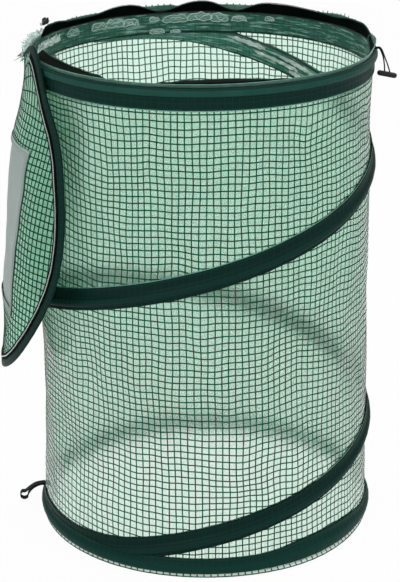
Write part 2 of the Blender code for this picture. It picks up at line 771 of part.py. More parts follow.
def build_toggle():
    """The carrying toggle: a bar on a doubled cord that is caught on the rim band."""
    band = RIM_R + GAP + TUNNEL + TAPE
    reach = band + TOGGLE_REACH
    bar_z = HEIGHT - TOGGLE_DROP
    bm = bmesh.new()
    straight = TOGGLE_BAR / 2 - TOGGLE_BAR_R
    profile = [(TOGGLE_BAR_R * math.cos(a), straight + TOGGLE_BAR_R * math.sin(a)) for a in arc(90, 0, 4)]
    profile += [(TOGGLE_BAR_R * math.cos(a), -straight + TOGGLE_BAR_R * math.sin(a)) for a in arc(0, -90, 4)]
    points = [bm.verts.new((r if r > 1e-6 else 0.0, 0, z)) for r, z in profile]
    line = [bm.edges.new(pair) for pair in zip(points, points[1:])]
    bmesh.ops.spin(
        bm, geom=points + line, cent=(0, 0, 0), axis=(0, 0, 1), angle=2 * math.pi, steps=12, use_merge=True
    )
    bmesh.ops.remove_doubles(bm, verts=bm.verts[:], dist=1e-6)
    tilt = Matrix.Rotation(math.radians(90 + TOGGLE_TILT), 4, "Y")
    frame = frame_at(TOGGLE_AZIMUTH, reach, bar_z)
    bmesh.ops.transform(bm, matrix=frame @ tilt, verts=bm.verts[:])
    bar = place(object_from(bm, "toggle_bar"), colour=BLACK_PLASTIC, roughness=0.4)
    depth = TOGGLE_BAR_R
    for side, name in ((-1, "toggle_hole_inner"), (1, "toggle_hole_outer")):
        hole = bmesh.new()
        bmesh.ops.create_cone(
            hole, cap_ends=True, segments=10, radius1=CORD_R + GAP, radius2=CORD_R + GAP, depth=2 * depth
        )
        across = side * TOGGLE_HOLES / 2
        shift = Matrix.Translation((across, 0, depth - across * tilt_slope()))
        bmesh.ops.transform(hole, matrix=frame @ shift, verts=hole.verts[:])
        cut(bar, object_from(hole, name))
    root = RIM_R + CORD_R
    root_z = RIM_BAND_TOP + GAP + CORD_R
    inner, outer = reach - TOGGLE_HOLES / 2, reach + TOGGLE_HOLES / 2
    inner_end = bar_z + TOGGLE_HOLES / 2 * tilt_slope() + GAP
    outer_end = bar_z - TOGGLE_HOLES / 2 * tilt_slope() + GAP
    route = [
        (inner, 0.0, inner_end),
        (inner, 0.0, inner_end + TOGGLE_BAR_R),
        (inner - 0.0004, -0.0010, bar_z + 0.0120),
        (inner - 0.0020, -0.0020, bar_z + 0.0220),
        (inner - 0.0048, -0.0026, bar_z + 0.0300),
        (root + 0.0062, -0.0026, root_z + 0.0006),
        (root + 0.0016, -0.0021, root_z + 0.0002),
        (root, 0.0, root_z),
        (root + 0.0016, 0.0021, root_z + 0.0002),
        (root + 0.0062, 0.0026, root_z + 0.0010),
        (inner - 0.0040, 0.0026, bar_z + 0.0310),
        (inner - 0.0005, 0.0022, bar_z + 0.0225),
        (outer - 0.0030, 0.0012, bar_z + 0.0125),
        (outer, 0.0, outer_end + TOGGLE_BAR_R),
        (outer, 0.0, outer_end),
    ]
    spin = Matrix.Rotation(math.radians(TOGGLE_AZIMUTH), 4, "Z")
    points = [spin @ p for p in spline(route, 3 * len(route) - 3)]
    cord = tube("toggle_cord", points, CORD_R, colour=BLACK_TAPE, roughness=0.7)
    cord.data.bevel_resolution = 2
    pivot("toggle_axis", spin @ Vector((root, 0, root_z)), [bar, cord])
    length = sum((a - b).length for a, b in zip(points, points[1:]))
    print(f"toggle cord: {1000 * length:.0f} mm")


def arc(start, end, steps):
    return [math.radians(start + (end - start) * k / steps) for k in range(steps + 1)]


def tilt_slope():
    return math.tan(math.radians(TOGGLE_TILT))


def build_strap():
    """The webbing tab at the foot of the wall, doubled back on itself round an eye for a ground peg."""
    top = BASE_BAND_TOP + STRAP_RISE
    reach, sag = STRAP_REACH, STRAP_DROP
    middle = Vector((reach, 0, top - sag))
    eye = [middle + STRAP_EYE * Vector((math.cos(a), 0, math.sin(a))) for a in arc(110, -190, 6)]
    apart = STRAP_THICK + 2 * GAP
    outward = [
        (GAP, 0.0),
        (0.25 * reach, 0.02 * sag),
        (0.50 * reach, 0.14 * sag),
        (0.72 * reach, 0.38 * sag),
    ]
    back = [
        (0.70 * reach, 0.62 * sag),
        (0.53 * reach, 0.35 * sag),
        (0.28 * reach, 0.04 * sag + apart),
        (GAP, apart),
    ]
    path = [(x, 0, top - z) for x, z in outward] + eye + [(x, 0, top - z) for x, z in back]
    line = spline(path, 2 * len(path) - 2)
    half = STRAP_WIDTH / 2
    sections = []
    for i, p in enumerate(line):
        along = (line[min(i + 1, len(line) - 1)] - line[max(i - 1, 0)]).normalized()
        across = Vector((along.z, 0, -along.x)) * STRAP_THICK / 2
        if i in (0, len(line) - 1):
            across = Vector((0, 0, math.copysign(STRAP_THICK / 2, across.z)))
        side = Vector((0, half, 0))
        sections.append([p + across + side, p - across + side, p - across - side, p + across - side])
    seat = frame_at(STRAP_AZIMUTH, wall_r(top), 0.0)
    sections = [[seat @ q for q in section] for section in sections]
    strap = loft("strap_loop", sections, colour=BLACK_TAPE, roughness=0.6)
    pivot("strap_axis", at(STRAP_AZIMUTH, wall_r(top), top - apart / 2), [strap])


def rim_pieces():
    return [piece for piece in PARTS.objects if piece.name.startswith("rim_")]


def main():
    build_wall()
    build_hoops()
    build_spiral()
    build_rim_zip()
    build_lid()
    build_slider()
    pivot("rim_axis", Vector((0, 0, 0)), rim_pieces())
    build_toggle()
    build_strap()
    for empty in [thing for thing in PARTS.objects if thing.type == "EMPTY"]:
        print(empty.name, [round(c, 5) for c in empty.location])


main()
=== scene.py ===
"""Looks of the pop-up mini greenhouse: clear film with its printed scrim, sewn tapes, zip, lid, toggle
and peg tab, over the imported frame. Metres, +Z up. The front is -Y and the lid hangs at -X."""
import math

import bmesh
import bpy
from mathutils import Matrix, Vector, noise


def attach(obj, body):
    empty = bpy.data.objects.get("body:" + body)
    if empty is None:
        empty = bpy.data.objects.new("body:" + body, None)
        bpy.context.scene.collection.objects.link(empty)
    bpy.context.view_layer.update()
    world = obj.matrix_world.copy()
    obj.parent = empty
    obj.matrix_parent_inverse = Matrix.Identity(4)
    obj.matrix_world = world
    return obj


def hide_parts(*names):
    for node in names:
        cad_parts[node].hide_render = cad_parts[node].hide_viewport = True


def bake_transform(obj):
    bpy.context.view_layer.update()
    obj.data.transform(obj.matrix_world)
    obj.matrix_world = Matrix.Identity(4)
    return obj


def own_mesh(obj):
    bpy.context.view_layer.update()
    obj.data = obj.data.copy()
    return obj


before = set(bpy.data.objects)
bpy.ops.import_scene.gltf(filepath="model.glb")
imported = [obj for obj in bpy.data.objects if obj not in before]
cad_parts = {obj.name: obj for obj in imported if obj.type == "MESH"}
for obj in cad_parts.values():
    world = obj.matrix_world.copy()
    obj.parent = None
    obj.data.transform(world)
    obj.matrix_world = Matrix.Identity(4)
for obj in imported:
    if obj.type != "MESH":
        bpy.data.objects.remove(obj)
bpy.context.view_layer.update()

# Sizes of the frame, as the part's source has them
HEIGHT, BASE_R, RIM_R = 0.657, 0.2265, 0.2220
FILM, TAPE, WIRE_R, FERRULE_R, GAP = 0.0005, 0.0008, 0.00125, 0.0018, 0.0003
TUNNEL = 2 * FERRULE_R + 2 * GAP
RIM_TOP, RIM_LOW = 0.654, 0.626
BASE_TOP, BASE_LOW, BASE_FOOT, BASE_WIRE_Z = 0.0266, 0.0066, 0.0044, 0.0141
SPIRAL_BAND, SPIRAL_WIRE_DROP = 0.030, 0.019
SPIRAL_START_Z, SPIRAL_END_Z = 0.640, 0.0166
ZIP_FOLD_Z, ZIP_SEWN, ZIP_FREE, ZIP_COIL_R = 0.6573, 0.0060, 0.0125, 0.0011
LID_R, LID_TOP_Z, LID_FALL = 0.2182, 0.653, 0.993
LID_CLEARANCE, BINDING_WIDTH, BINDING_HALF = 0.0008, 0.010, 0.00165
VENT_HALF, VENT_DROP, VENT_FRAME = 0.110, 0.110, 0.008

# Sizes that only the looks have: the scrim's squares, a thread's width and thickness, a tape's inner ply,
# how far in crushed film lies, and the way round the foot on maps
SCRIM, THREAD = 0.0089, (0.00168, 0.00040)
PLY, FLAKE_IN, ROUND = 0.0005, 0.0036, 1.42

# Azimuths: all round, the back, and where the film is held by the spiral, in degrees from the back
FULL, BACK, SPIRAL_HOLDS = (-180, 180), 90, (-45, 575)

# The spiral's fall: degrees turned clockwise from the back, and the share of the fall done by then
SPIRAL_KNOTS = (
    (-45, 0.000), (0, 0.028), (90, 0.204), (180, 0.369), (270, 0.513),
    (360, 0.654), (450, 0.791), (540, 0.935), (575, 0.985), (640, 1.010),
)

# The rim's zip tape: how far it leans in, in degrees, and how far it is drawn up, by azimuth
ZIP_LEAN = (
    (-165, 50), (-150, 60), (-138, 74), (-129, 88), (-122, 112), (-118, 158), (-109, 150), (-103, 110),
    (-95, 91), (-83, 86), (-73, 92), (-63, 112), (-57, 152), (-48, 162), (-7, 166), (-1, 96), (4, 16),
    (20, 14), (33, 40), (46, 34), (64, 14), (77, 80), (90, 18), (106, 82), (119, 20), (135, 56), (148, 52),
    (157, 36), (165, 30),
)
ZIP_RAISED = (
    (-117, -0.0030), (-108, -0.0024), (-101, 0.0010), (-66, 0.0010), (-56, -0.0030), (-12, -0.0034),
    (0, 0.0010), (8, 0.0020), (20, 0.0),
)
ZIP_GATHERED = ((-16, 1.0), (-5, 0.30), (2, 0.45), (14, 1.0))

# How far the film's cut edge stands above the rim, by azimuth
COLLAR_LIFT = (
    (-180, 0.0004), (-160, 0.0006), (-20, 0.0008), (-10, 0.0034), (-2, 0.0070), (6, 0.0056), (16, 0.0050),
    (24, 0.0098), (34, 0.0110), (46, 0.0080), (54, 0.0020), (64, 0.0010), (71, 0.0070), (82, 0.0072),
    (89, 0.0010), (96, 0.0014), (101, 0.0074), (112, 0.0070), (120, 0.0016), (127, 0.0060), (142, 0.0064),
    (154, 0.0040), (165, 0.0006), (180, 0.0004),
)

# The hanging lid, by distance down from its hinge: how far it stands off, and how far it swings aside
LID_HANG = ((0.0, 0.0), (0.035, 0.0016), (0.07, 0.008), (0.15, 0.0255), (0.30, 0.042), (0.45, 0.048))
LID_SWING = (
    (0.0, 0.0105), (0.05, 0.0105), (0.15, 0.0070), (0.25, 0.0050), (0.30, 0.0), (0.36, -0.0070),
    (0.45, -0.0085),
)
LID_CORNER, LID_CORNER_RISE = (0.098, 0.022), 0.046

# Creases in the wall: azimuth, width in degrees, depth, height and half their length
CREASES = (
    (-57, 5, 0.0030, 0.585, 0.060), (-70, 7, -0.0022, 0.560, 0.08), (-118, 6, 0.0026, 0.420, 0.05),
    (-50, 6, 0.0030, 0.205, 0.09), (-66, 5, 0.0024, 0.125, 0.05), (-128, 6, 0.0030, 0.215, 0.07),
    (-147, 5, 0.0036, 0.170, 0.07), (-100, 8, 0.0018, 0.30, 0.08), (-30, 6, 0.0026, 0.33, 0.06),
    (-150, 6, 0.0030, 0.56, 0.07), (-135, 5, -0.0026, 0.54, 0.05), (-122, 5, 0.0024, 0.60, 0.03),
    (100, 7, 0.0028, 0.43, 0.08), (70, 6, 0.0026, 0.52, 0.05), (125, 6, 0.0028, 0.50, 0.06),
    (20, 7, 0.0026, 0.24, 0.08), (160, 7, 0.0026, 0.30, 0.08), (60, 6, 0.0026, 0.16, 0.06),
)

# Kinks in the scrim's rows: azimuth, height, half their width in degrees and half their height, and rise
KINKS = (
    (-55, 0.585, 16, 0.05, -0.0085), (-57, 0.270, 14, 0.06, 0.0075), (-130, 0.280, 17, 0.06, 0.0095),
    (-122, 0.555, 14, 0.05, -0.0075), (-100, 0.420, 15, 0.05, 0.0055), (-78, 0.150, 15, 0.04, -0.0060),
    (-38, 0.430, 14, 0.05, 0.0070), (60, 0.450, 16, 0.06, 0.0070), (110, 0.540, 15, 0.05, -0.0060),
    (150, 0.300, 16, 0.05, 0.0070), (15, 0.200, 15, 0.05, -0.0070), (85, 0.250, 15, 0.05, 0.0060),
    (-170, 0.110, 60, 0.09, 0.0200), (-148, 0.560, 20, 0.06, 0.0080), (-35, 0.090, 24, 0.05, 0.0060),
)

# How pieces fold: the joint, the direction, what stays in place, and the share of the size that is left
FOLDS = {
    "wall": ("collapse", (0, 0, 1), (0, 0, 0), 0.108),
    "zip": ("lid_hinge", (0, 0, 1), (0, 0, ZIP_FOLD_Z - 0.001), 0.15),
    "lid": ("lid_hinge", (1, 0, 0), (-0.22975, 0, 0), 0.08),
}


# Shapes that the pieces share
def smooth(knots, x):
    """The height at x of a curve through the knots, with no overshoot between them."""
    if x <= knots[0][0]:
        return knots[0][1]
    for i, ((x0, y0), (x1, y1)) in enumerate(zip(knots, knots[1:])):
        if x > x1:
            continue
        before, after = knots[max(i - 1, 0)], knots[min(i + 2, len(knots) - 1)]
        rise = (y1 - y0) / (x1 - x0)
        low, high = sorted((0.0, 3 * rise))
        ends = []
        for a, b in ((before, (x1, y1)), ((x0, y0), after)):
            ends.append(min(max((b[1] - a[1]) / (b[0] - a[0]), low), high))
        t, width = (x - x0) / (x1 - x0), x1 - x0
        start = y0 * (1 + 2 * t) * (1 - t) ** 2 + ends[0] * width * t * (1 - t) ** 2
        return start + y1 * t * t * (3 - 2 * t) - ends[1] * width * t * t * (1 - t)
    return knots[-1][1]


def eased(knots, x):
    """The height at x of a line through the knots that levels out at each of them."""
    for (a, p), (b, q) in zip(knots, knots[1:]):
        if x <= b:
            t = min(max((x - a) / (b - a), 0.0), 1.0)
            return p + (q - p) * t * t * (3 - 2 * t)
    return knots[-1][1]


def spline(points, count):
    """A smooth curve through the points, in count steps."""
    points = [Vector(p) for p in points]
    found = []
    for k in range(count + 1):
        s = k * (len(points) - 1) / count
        i = min(int(s), len(points) - 2)
        t = s - i
        a, b, c, d = (points[max(min(j, len(points) - 1), 0)] for j in range(i - 1, i + 3))
        square, cube = (2 * a - 5 * b + 4 * c - d) * t**2, (3 * b - a - 3 * c + d) * t**3
        found.append(0.5 * (2 * b + (c - a) * t + square + cube))
    return found


def between(points, t):
    """The place at the share t of a line of points."""
    spot = t * (len(points) - 1)
    k = min(int(spot), len(points) - 2)
    return points[k].lerp(points[k + 1], spot - k)


def share_of(span, s):
    """The place at the share s of a span."""
    first, last = span
    return first + (last - first) * s


def around_by(span, r=BASE_R):
    """The way round for a span of azimuths."""
    return abs(math.radians(span[1] - span[0])) * r


def wall_r(z):
    """The wall's radius at a height."""
    return BASE_R + (RIM_R - BASE_R) * z / HEIGHT


def round_way(azimuth):
    """The way out at an azimuth, as x and y."""
    turn = math.radians(azimuth)
    return math.cos(turn), math.sin(turn)


def at(azimuth, r, z):
    x, y = round_way(azimuth)
    return Vector((r * x, r * y, z))


def outward(p):
    """The way out at a point."""
    return Vector((p.x, p.y, 0)).normalized()


def inward(p):
    return -outward(p)


def upward(p):
    return Vector((0, 0, 1))


def rough(x, y, z=0.0):
    return noise.noise(Vector((x, y, z)))


def rough_round(azimuth, scale, z):
    """Roughness that joins up with itself round the wall."""
    x, y = round_way(azimuth)
    return rough(scale * x, scale * y, z)


def step(x):
    """Goes smoothly from 0 to 1 as x does."""
    x = min(max(x, 0.0), 1.0)
    return x * x * (3 - 2 * x)


def spiral_z(turned):
    """The height of the spiral band's middle, by degrees turned from the back."""
    return SPIRAL_START_Z - (SPIRAL_START_Z - SPIRAL_END_Z) * smooth(SPIRAL_KNOTS, turned)


HELD = {}


def held_at(azimuth):
    """Heights at which tapes hold the film at this azimuth, from the foot up."""
    key = round(azimuth, 2) % 360
    if key not in HELD:
        found = [BASE_LOW, BASE_TOP]
        for turn in range(-2, 4):
            turned = BACK - key + 360 * turn
            if SPIRAL_HOLDS[0] <= turned <= SPIRAL_HOLDS[1]:
                found.append(spiral_z(turned) - 0.002)
        HELD[key] = sorted(found + [RIM_LOW, RIM_TOP])
    return HELD[key]


def dent(azimuth, z):
    """How far the film stands off the true cone: it draws in between the tapes, and creases."""
    held = held_at(azimuth)
    away, dip = 1.0, 0.0
    for low, high in zip(held, held[1:]):
        if low <= z <= high:
            span = high - low
            s = (z - low) / max(span, 1e-6)
            dip = min(0.0036, 0.016 * span) * (4 * s * (1 - s)) ** 0.8
            away = min(z - low, high - z)
    free = step((away - 0.010) / 0.045)
    x, y = round_way(azimuth)
    wave = 0.0026 * rough(3.4 * x, 3.4 * y, 7 * z) + 0.0015 * rough(9 * x + 5, 9 * y, 20 * z)
    for centre, width, depth, middle, half in CREASES:
        off = (azimuth - centre + 180) % 360 - 180 + 22 * (z - middle) / half * 0.3
        wave -= depth * math.exp(-((off / width) ** 2) - ((z - middle) / half) ** 2)
    pucker = 0.0006 * rough(26 * x, 26 * y, 5 * z) * step(away / 0.006) * step(1.6 - away / 0.03)
    return -dip + free * wave + pucker - 0.0002


def on_wall(azimuth, z, out=0.0):
    """A point of the film, with the scrim's own drift along and up the wall."""
    x, y = (2.1 * way for way in round_way(azimuth))
    azimuth += 0.80 * rough(x + 11, y, 6 * z) + 0.50 * rough(4 * x, 4 * y + 3, 17 * z)
    edge = step(z / 0.03) * step((RIM_LOW - z) / 0.03)
    z += edge * (0.0042 * rough(x, y + 7, 5 * z) + 0.0026 * rough(4 * x + 9, 4 * y, 14 * z))
    for centre, middle, wide, tall, rise in KINKS:
        off = abs((azimuth - centre + 180) % 360 - 180)
        if off < wide:
            z += edge * rise * (1 - off / wide) * math.exp(-(((z - middle) / tall) ** 2))
    return at(azimuth, wall_r(z) + out + dent(azimuth, z), z)


def collar(azimuth):
    """How far the film's cut edge stands above the rim here, and how far it flares out."""
    lift = eased(COLLAR_LIFT, (azimuth + 180) % 360 - 180)
    return lift, 0.45 * max(lift - 0.001, 0.0)


def zip_line(azimuth):
    """The rim's zip tape in section, (radius, height) from its sewn foot over its fold to its free edge,
    and the way that its free edge points."""
    sway = 9 * rough_round(azimuth, 2.6, 3) * step((azimuth - 10) / 20)
    lean = math.radians(eased(ZIP_LEAN, azimuth) + sway)
    raised = eased(ZIP_RAISED, azimuth)
    spot = Vector((wall_r(HEIGHT) - FILM - GAP - TAPE / 2 + 0.4 * raised, ZIP_FOLD_Z - ZIP_SEWN + raised))
    gathered = eased(ZIP_GATHERED, azimuth)
    total, bend, start, step_size = ZIP_SEWN + TAPE + ZIP_FREE * gathered, 0.0026, ZIP_SEWN - 0.0006, 0.0005
    line = [spot.copy()]
    for k in range(round(total / step_size)):
        turn = lean * min(max((k * step_size - start) / bend, 0.0), 1.0)
        spot = spot + step_size * Vector((-math.sin(turn), math.cos(turn)))
        line.append(spot.copy())
    return line, Vector((-math.sin(lean), math.cos(lean)))


def lid_point(u, v, h):
    """A point of the hanging lid: u along the wall, v down from the hinge, h off its middle surface."""
    r = RIM_R + GAP + TUNNEL + TAPE + LID_CLEARANCE + BINDING_HALF + smooth(LID_HANG, v)
    side = step(u / 0.09)
    aside, below = u - LID_CORNER[0], v - LID_CORNER[1]
    corner = math.exp(-((aside / (0.026 if aside > 0 else 0.055)) ** 2) - (below / 0.026) ** 2)
    u += side * smooth(LID_SWING, v)
    z = LID_TOP_Z - v * LID_FALL + LID_CORNER_RISE * corner
    return at(180 + math.degrees(u / r), r + h + 0.001 * corner, z)


def lid_dent(u, w):
    """How far the lid's film buckles off its surface, less by the binding."""
    edge = step((LID_R - math.hypot(u, w) - 0.010) / 0.05)
    return edge * (0.0045 * rough(9 * u, 9 * w, 4) + 0.0016 * rough(26 * u, 26 * w, 9))


def on_lid(u, w, h):
    """As lid_point, by place on the flat disc: u along the hinge, w towards it."""
    return lid_point(u, LID_R - w, h + lid_dent(u, w))


def disc_threads(radius):
    """The scrim's threads over a disc, both ways: how far off its middle each lies, and half its length."""
    count = int(radius / SCRIM)
    for k in range(-count, count + 1):
        c = k * SCRIM
        half = math.sqrt(max(radius**2 - c * c, 0))
        for turned in (False, True):
            yield c, half, turned


def wavering(c, d, turned, sway, along, beside):
    """A place on the disc, at d along such a thread, which wavers a little to its sides."""
    aside = c + sway * rough(along * d, beside * c, 5 if turned else 1)
    return (d, aside) if turned else (aside, d)


# Mesh makers
def added(name, data):
    """A new object in the scene."""
    obj = bpy.data.objects.new(name, data)
    bpy.context.scene.collection.objects.link(obj)
    return obj


def finished(bm, name, finish, facing=None, thick=0.0, offset=-1.0, angle=40):
    """Makes an object of a bmesh. facing gives the way out at a point, for sheets that have two sides."""
    bmesh.ops.recalc_face_normals(bm, faces=bm.faces[:])
    if facing is not None:
        bm.normal_update()
        turned = sum(f.normal.dot(facing(f.calc_center_median())) * f.calc_area() for f in bm.faces)
        if turned < 0:
            bmesh.ops.reverse_faces(bm, faces=bm.faces[:])
    mesh = bpy.data.meshes.new(name)
    bm.to_mesh(mesh)
    bm.free()
    mesh.shade_smooth()
    mesh.set_sharp_from_angle(angle=math.radians(angle))
    obj = added(name, mesh)
    mesh.materials.append(finish)
    if thick:
        wall = obj.modifiers.new("thickness", "SOLIDIFY")
        wall.thickness = thick
        wall.offset = offset
        wall.use_even_offset = False
    return obj


def grid(bm, across, down, place, size=(1.0, 1.0), measure=None):
    """Adds a grid of faces whose corners go to place(s, t), both from 0 to 1, with metres on its UV map."""
    made = bmesh.ops.create_grid(bm, x_segments=across, y_segments=down, size=0.5)["verts"]
    layer = bm.loops.layers.uv.verify()
    faces = {face for vert in made for face in vert.link_faces}
    for face in faces:
        for loop in face.loops:
            s, t = loop.vert.co.x + 0.5, loop.vert.co.y + 0.5
            loop[layer].uv = (s * size[0], measure(t) if measure else t * size[1])
    for vert in made:
        vert.co = place(vert.co.x + 0.5, vert.co.y + 0.5)
    return made


def strip(name, across, down, place, size, finish, on=None, closed=False, measure=None, **more):
    """A piece made of one grid, put on a body as rides() puts it. A closed one joins up with itself."""
    bm = bmesh.new()
    grid(bm, across, down, place, size, measure)
    if closed:
        bmesh.ops.remove_doubles(bm, verts=bm.verts[:], dist=1e-6)
    made = finished(bm, name, finish, **more)
    return rides(made, *on) if on else made


def yarn(bm, points, width, thick, face, sides=4):
    """Adds a flat yarn along points, wide along the surface whose way out is face(point)."""
    count = len(points) - 1
    lines = []
    for i, p in enumerate(points):
        along = (points[min(i + 1, count)] - points[max(i - 1, 0)]).normalized()
        up = face(p)
        side = along.cross(up).normalized()
        lines.append((p, side * width / 2, side.cross(along).normalized() * thick / 2))

    def place(s, t):
        p, side, up = lines[round(s * count)]
        turn = 2 * math.pi * round(t * sides) / sides
        return p + side * math.cos(turn) + up * math.sin(turn)

    grid(bm, count, sides, place, (count * (points[1] - points[0]).length, width))


def ribbon(bm, points, width, face):
    """Adds a flat ribbon along points. A piece of ribbons is given its thickness as a whole."""
    count = len(points) - 1
    lines = []
    for i, p in enumerate(points):
        along = points[min(i + 1, count)] - points[max(i - 1, 0)]
        lines.append((p, along.cross(face(p)).normalized() * width))

    def place(s, t):
        p, side = lines[round(s * count)]
        return p + side * (t - 0.5)

    grid(bm, count, 1, place, (count * (points[1] - points[0]).length, width))


def crumple(
    name, place, size, finish, facing, depth=0.002, grain=(50.0, 130.0), seed=0.0, cell=0.0009, torn=0.6,
    creases=None,
):
    """A strip of crushed film: a fine grid over place(s, t), thrown up in sharp little folds.
    Its turned edges and its sharpest fold go into the mesh creases as pale lines: painted highlights."""
    across, down = (max(int(length / cell), 4) for length in size)

    def thrown(s, t):
        narrowed = 0.62 + 0.38 * step(min(s, 1 - s) / 0.16)
        ragged = narrowed * (1 + torn * rough(3 * s * size[0] / 0.02, seed, 2 * t))
        p = place(s, 0.5 + (t - 0.5) * ragged)
        q = Vector((grain[0] * p.x, grain[0] * p.y, grain[1] * p.z))
        fold = abs(rough(q.x, q.y + seed, q.z)) + 0.5 * abs(rough(2.3 * q.x, 2.3 * q.y, 2.3 * q.z + seed))
        fold += 0.22 * abs(rough(6.1 * q.x, 6.1 * q.y + seed, 5.1 * q.z))
        return p + facing(p) * depth * (1.6 * fold - 0.2)

    def crease(s, t):
        p = thrown(s, t)
        return p + 0.0005 * facing(p)

    if creases is not None:
        count = max(int(size[0] / 0.0018), 6)
        bent = 0.9 + 0.6 * rough(seed, 1.5)
        shares = [k / count for k in range(count + 1)]
        lines = [[crease(s, 0.97 - bent * abs(2 * s - 1) ** 5) for s in shares]]
        lines.append([crease(s, 0.12 + 0.25 * rough(3 * s, seed)) for s in shares])
        lines.append([crease(0.15 + 0.55 * s, 0.55 + 0.6 * rough(2 * s, seed, 2)) for s in shares])
        for line in lines:
            yarn(creases, line, 0.0008, 0.0004, facing)
    return strip(name, across, down, thrown, size, finish, facing=facing, thick=0.0002, angle=25)


def closed_ends(bm):
    """Joins the seams of tubes and shuts their open ends."""
    bmesh.ops.remove_doubles(bm, verts=bm.verts[:], dist=1e-7)
    bmesh.ops.holes_fill(bm, edges=[e for e in bm.edges if e.is_boundary], sides=12)
    return bm


def stitches(name, path, finish, face):
    """A row of sewn stitches along a path(metres) -> point, from 0 to its length."""
    points, length = path
    pitch, long, width, thick = 0.0042, 0.0030, 0.0007, 0.0005
    bm = bmesh.new()
    for k in range(int(length / pitch)):
        start = (k + 0.5) * pitch - long / 2
        ends = [points(start + long * share) for share in (0.0, 0.5, 1.0)]
        for end in (0, 2):
            ends[end] = ends[end] - face(ends[end]) * thick * 0.6
        yarn(bm, ends, width, thick, face)
    return finished(closed_ends(bm), name, finish)


def poly_curve(name, points, radius, resolution):
    """A round tube along points, as a curve in the scene."""
    curve = bpy.data.curves.new(name, "CURVE")
    curve.dimensions = "3D"
    curve.bevel_depth = radius
    curve.bevel_resolution = resolution
    curve.use_fill_caps = True
    line = curve.splines.new("POLY")
    line.points.add(len(points) - 1)
    for point, co in zip(line.points, points):
        point.co = (*co, 1.0)
    return added(name, curve)


def coil(name, points, finish, turn_length, radius, wire, face):
    """A zip's sewn coil: one thread wound along a line, squashed a little against its tape."""
    lengths = [0.0]
    for a, b in zip(points, points[1:]):
        lengths.append(lengths[-1] + (b - a).length)
    steps = 6
    count = int(lengths[-1] / turn_length) * steps
    path = []
    i = 0
    for k in range(count + 1):
        d = lengths[-1] * k / count
        while i < len(points) - 2 and lengths[i + 1] < d:
            i += 1
        share = (d - lengths[i]) / max(lengths[i + 1] - lengths[i], 1e-9)
        p = points[i].lerp(points[i + 1], share)
        along = (points[i + 1] - points[i]).normalized()
        side = along.cross(face(p)).normalized()
        up = side.cross(along)
        turn = 2 * math.pi * k / steps
        wide, high = side * math.cos(turn) * (radius - wire) * 1.25, up * math.sin(turn) * (radius - wire)
        path.append(p + wide + high)
    wound = poly_curve(name, path, wire, 0)
    bpy.context.view_layer.update()
    mesh = bpy.data.meshes.new_from_object(wound.evaluated_get(bpy.context.evaluated_depsgraph_get()))
    bpy.data.objects.remove(wound, do_unlink=True)
    mesh.materials.clear()
    mesh.materials.append(finish)
    mesh.shade_smooth()
    return added(name, mesh)


# How pieces join their bodies
def rides(obj, body, nodes=(), slot=None, fold=None):
    """Puts a finished piece on its body, hiding the nodes it stands for; a fold only gives it a mesh of its
    own.
    """
    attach(obj, body)
    if nodes:
        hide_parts(*nodes)
    if fold:
        joint, way, anchor, keep = FOLDS[fold]
        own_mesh(obj)
        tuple(way)
        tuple(anchor)
    return obj


def yarns(bm, name, finish, body, slot="green_tape", fold=None, nodes=()):
    """Makes the yarns in a mesh one piece of a body."""
    rides(finished(closed_ends(bm), name, finish, angle=60), body, nodes, slot, fold)


def sewing(name, paths, body, fold=None, slot="green_tape", finish=None, face=outward):
    """Rows of stitches on a body, numbered from 0."""
    for k, path in enumerate(paths):
        rides(stitches(f"{name}_{k}", path, finish or STITCH_FINISH, face), body, (), slot, fold)


def crushed(name, span, spot, deep, finish, body, fold=None, r=RIM_R, facing=inward, **look):
    """A scrap of crushed film on a body, over spot(azimuth, t) for a span of azimuths."""
    def place(s, t):
        return spot(share_of(span, s), t)

    piece = crumple(name, place, (around_by(span, r), deep), finish, facing, **look)
    rides(piece, body, (), "clear_film", fold)


# Shader maths
def maths(operation, swapped=False):
    """A method of Value that adds one Math node."""
    def work(self, *others):
        values = (*others, self) if swapped else (self, *others)
        return self.finish.node("ShaderNodeMath", {"operation": operation}, dict(enumerate(values)))

    return work


class Value:
    """A value in a material's node tree that Python's own operators can work with."""

    def __init__(self, finish, socket):
        self.finish, self.socket = finish, socket

    __add__ = __radd__ = maths("ADD")
    __sub__, __rsub__ = maths("SUBTRACT"), maths("SUBTRACT", swapped=True)
    __mul__ = __rmul__ = maths("MULTIPLY")
    __truediv__, __abs__, fraction = maths("DIVIDE"), maths("ABSOLUTE"), maths("FRACT")
    least, most = maths("MINIMUM"), maths("MAXIMUM")


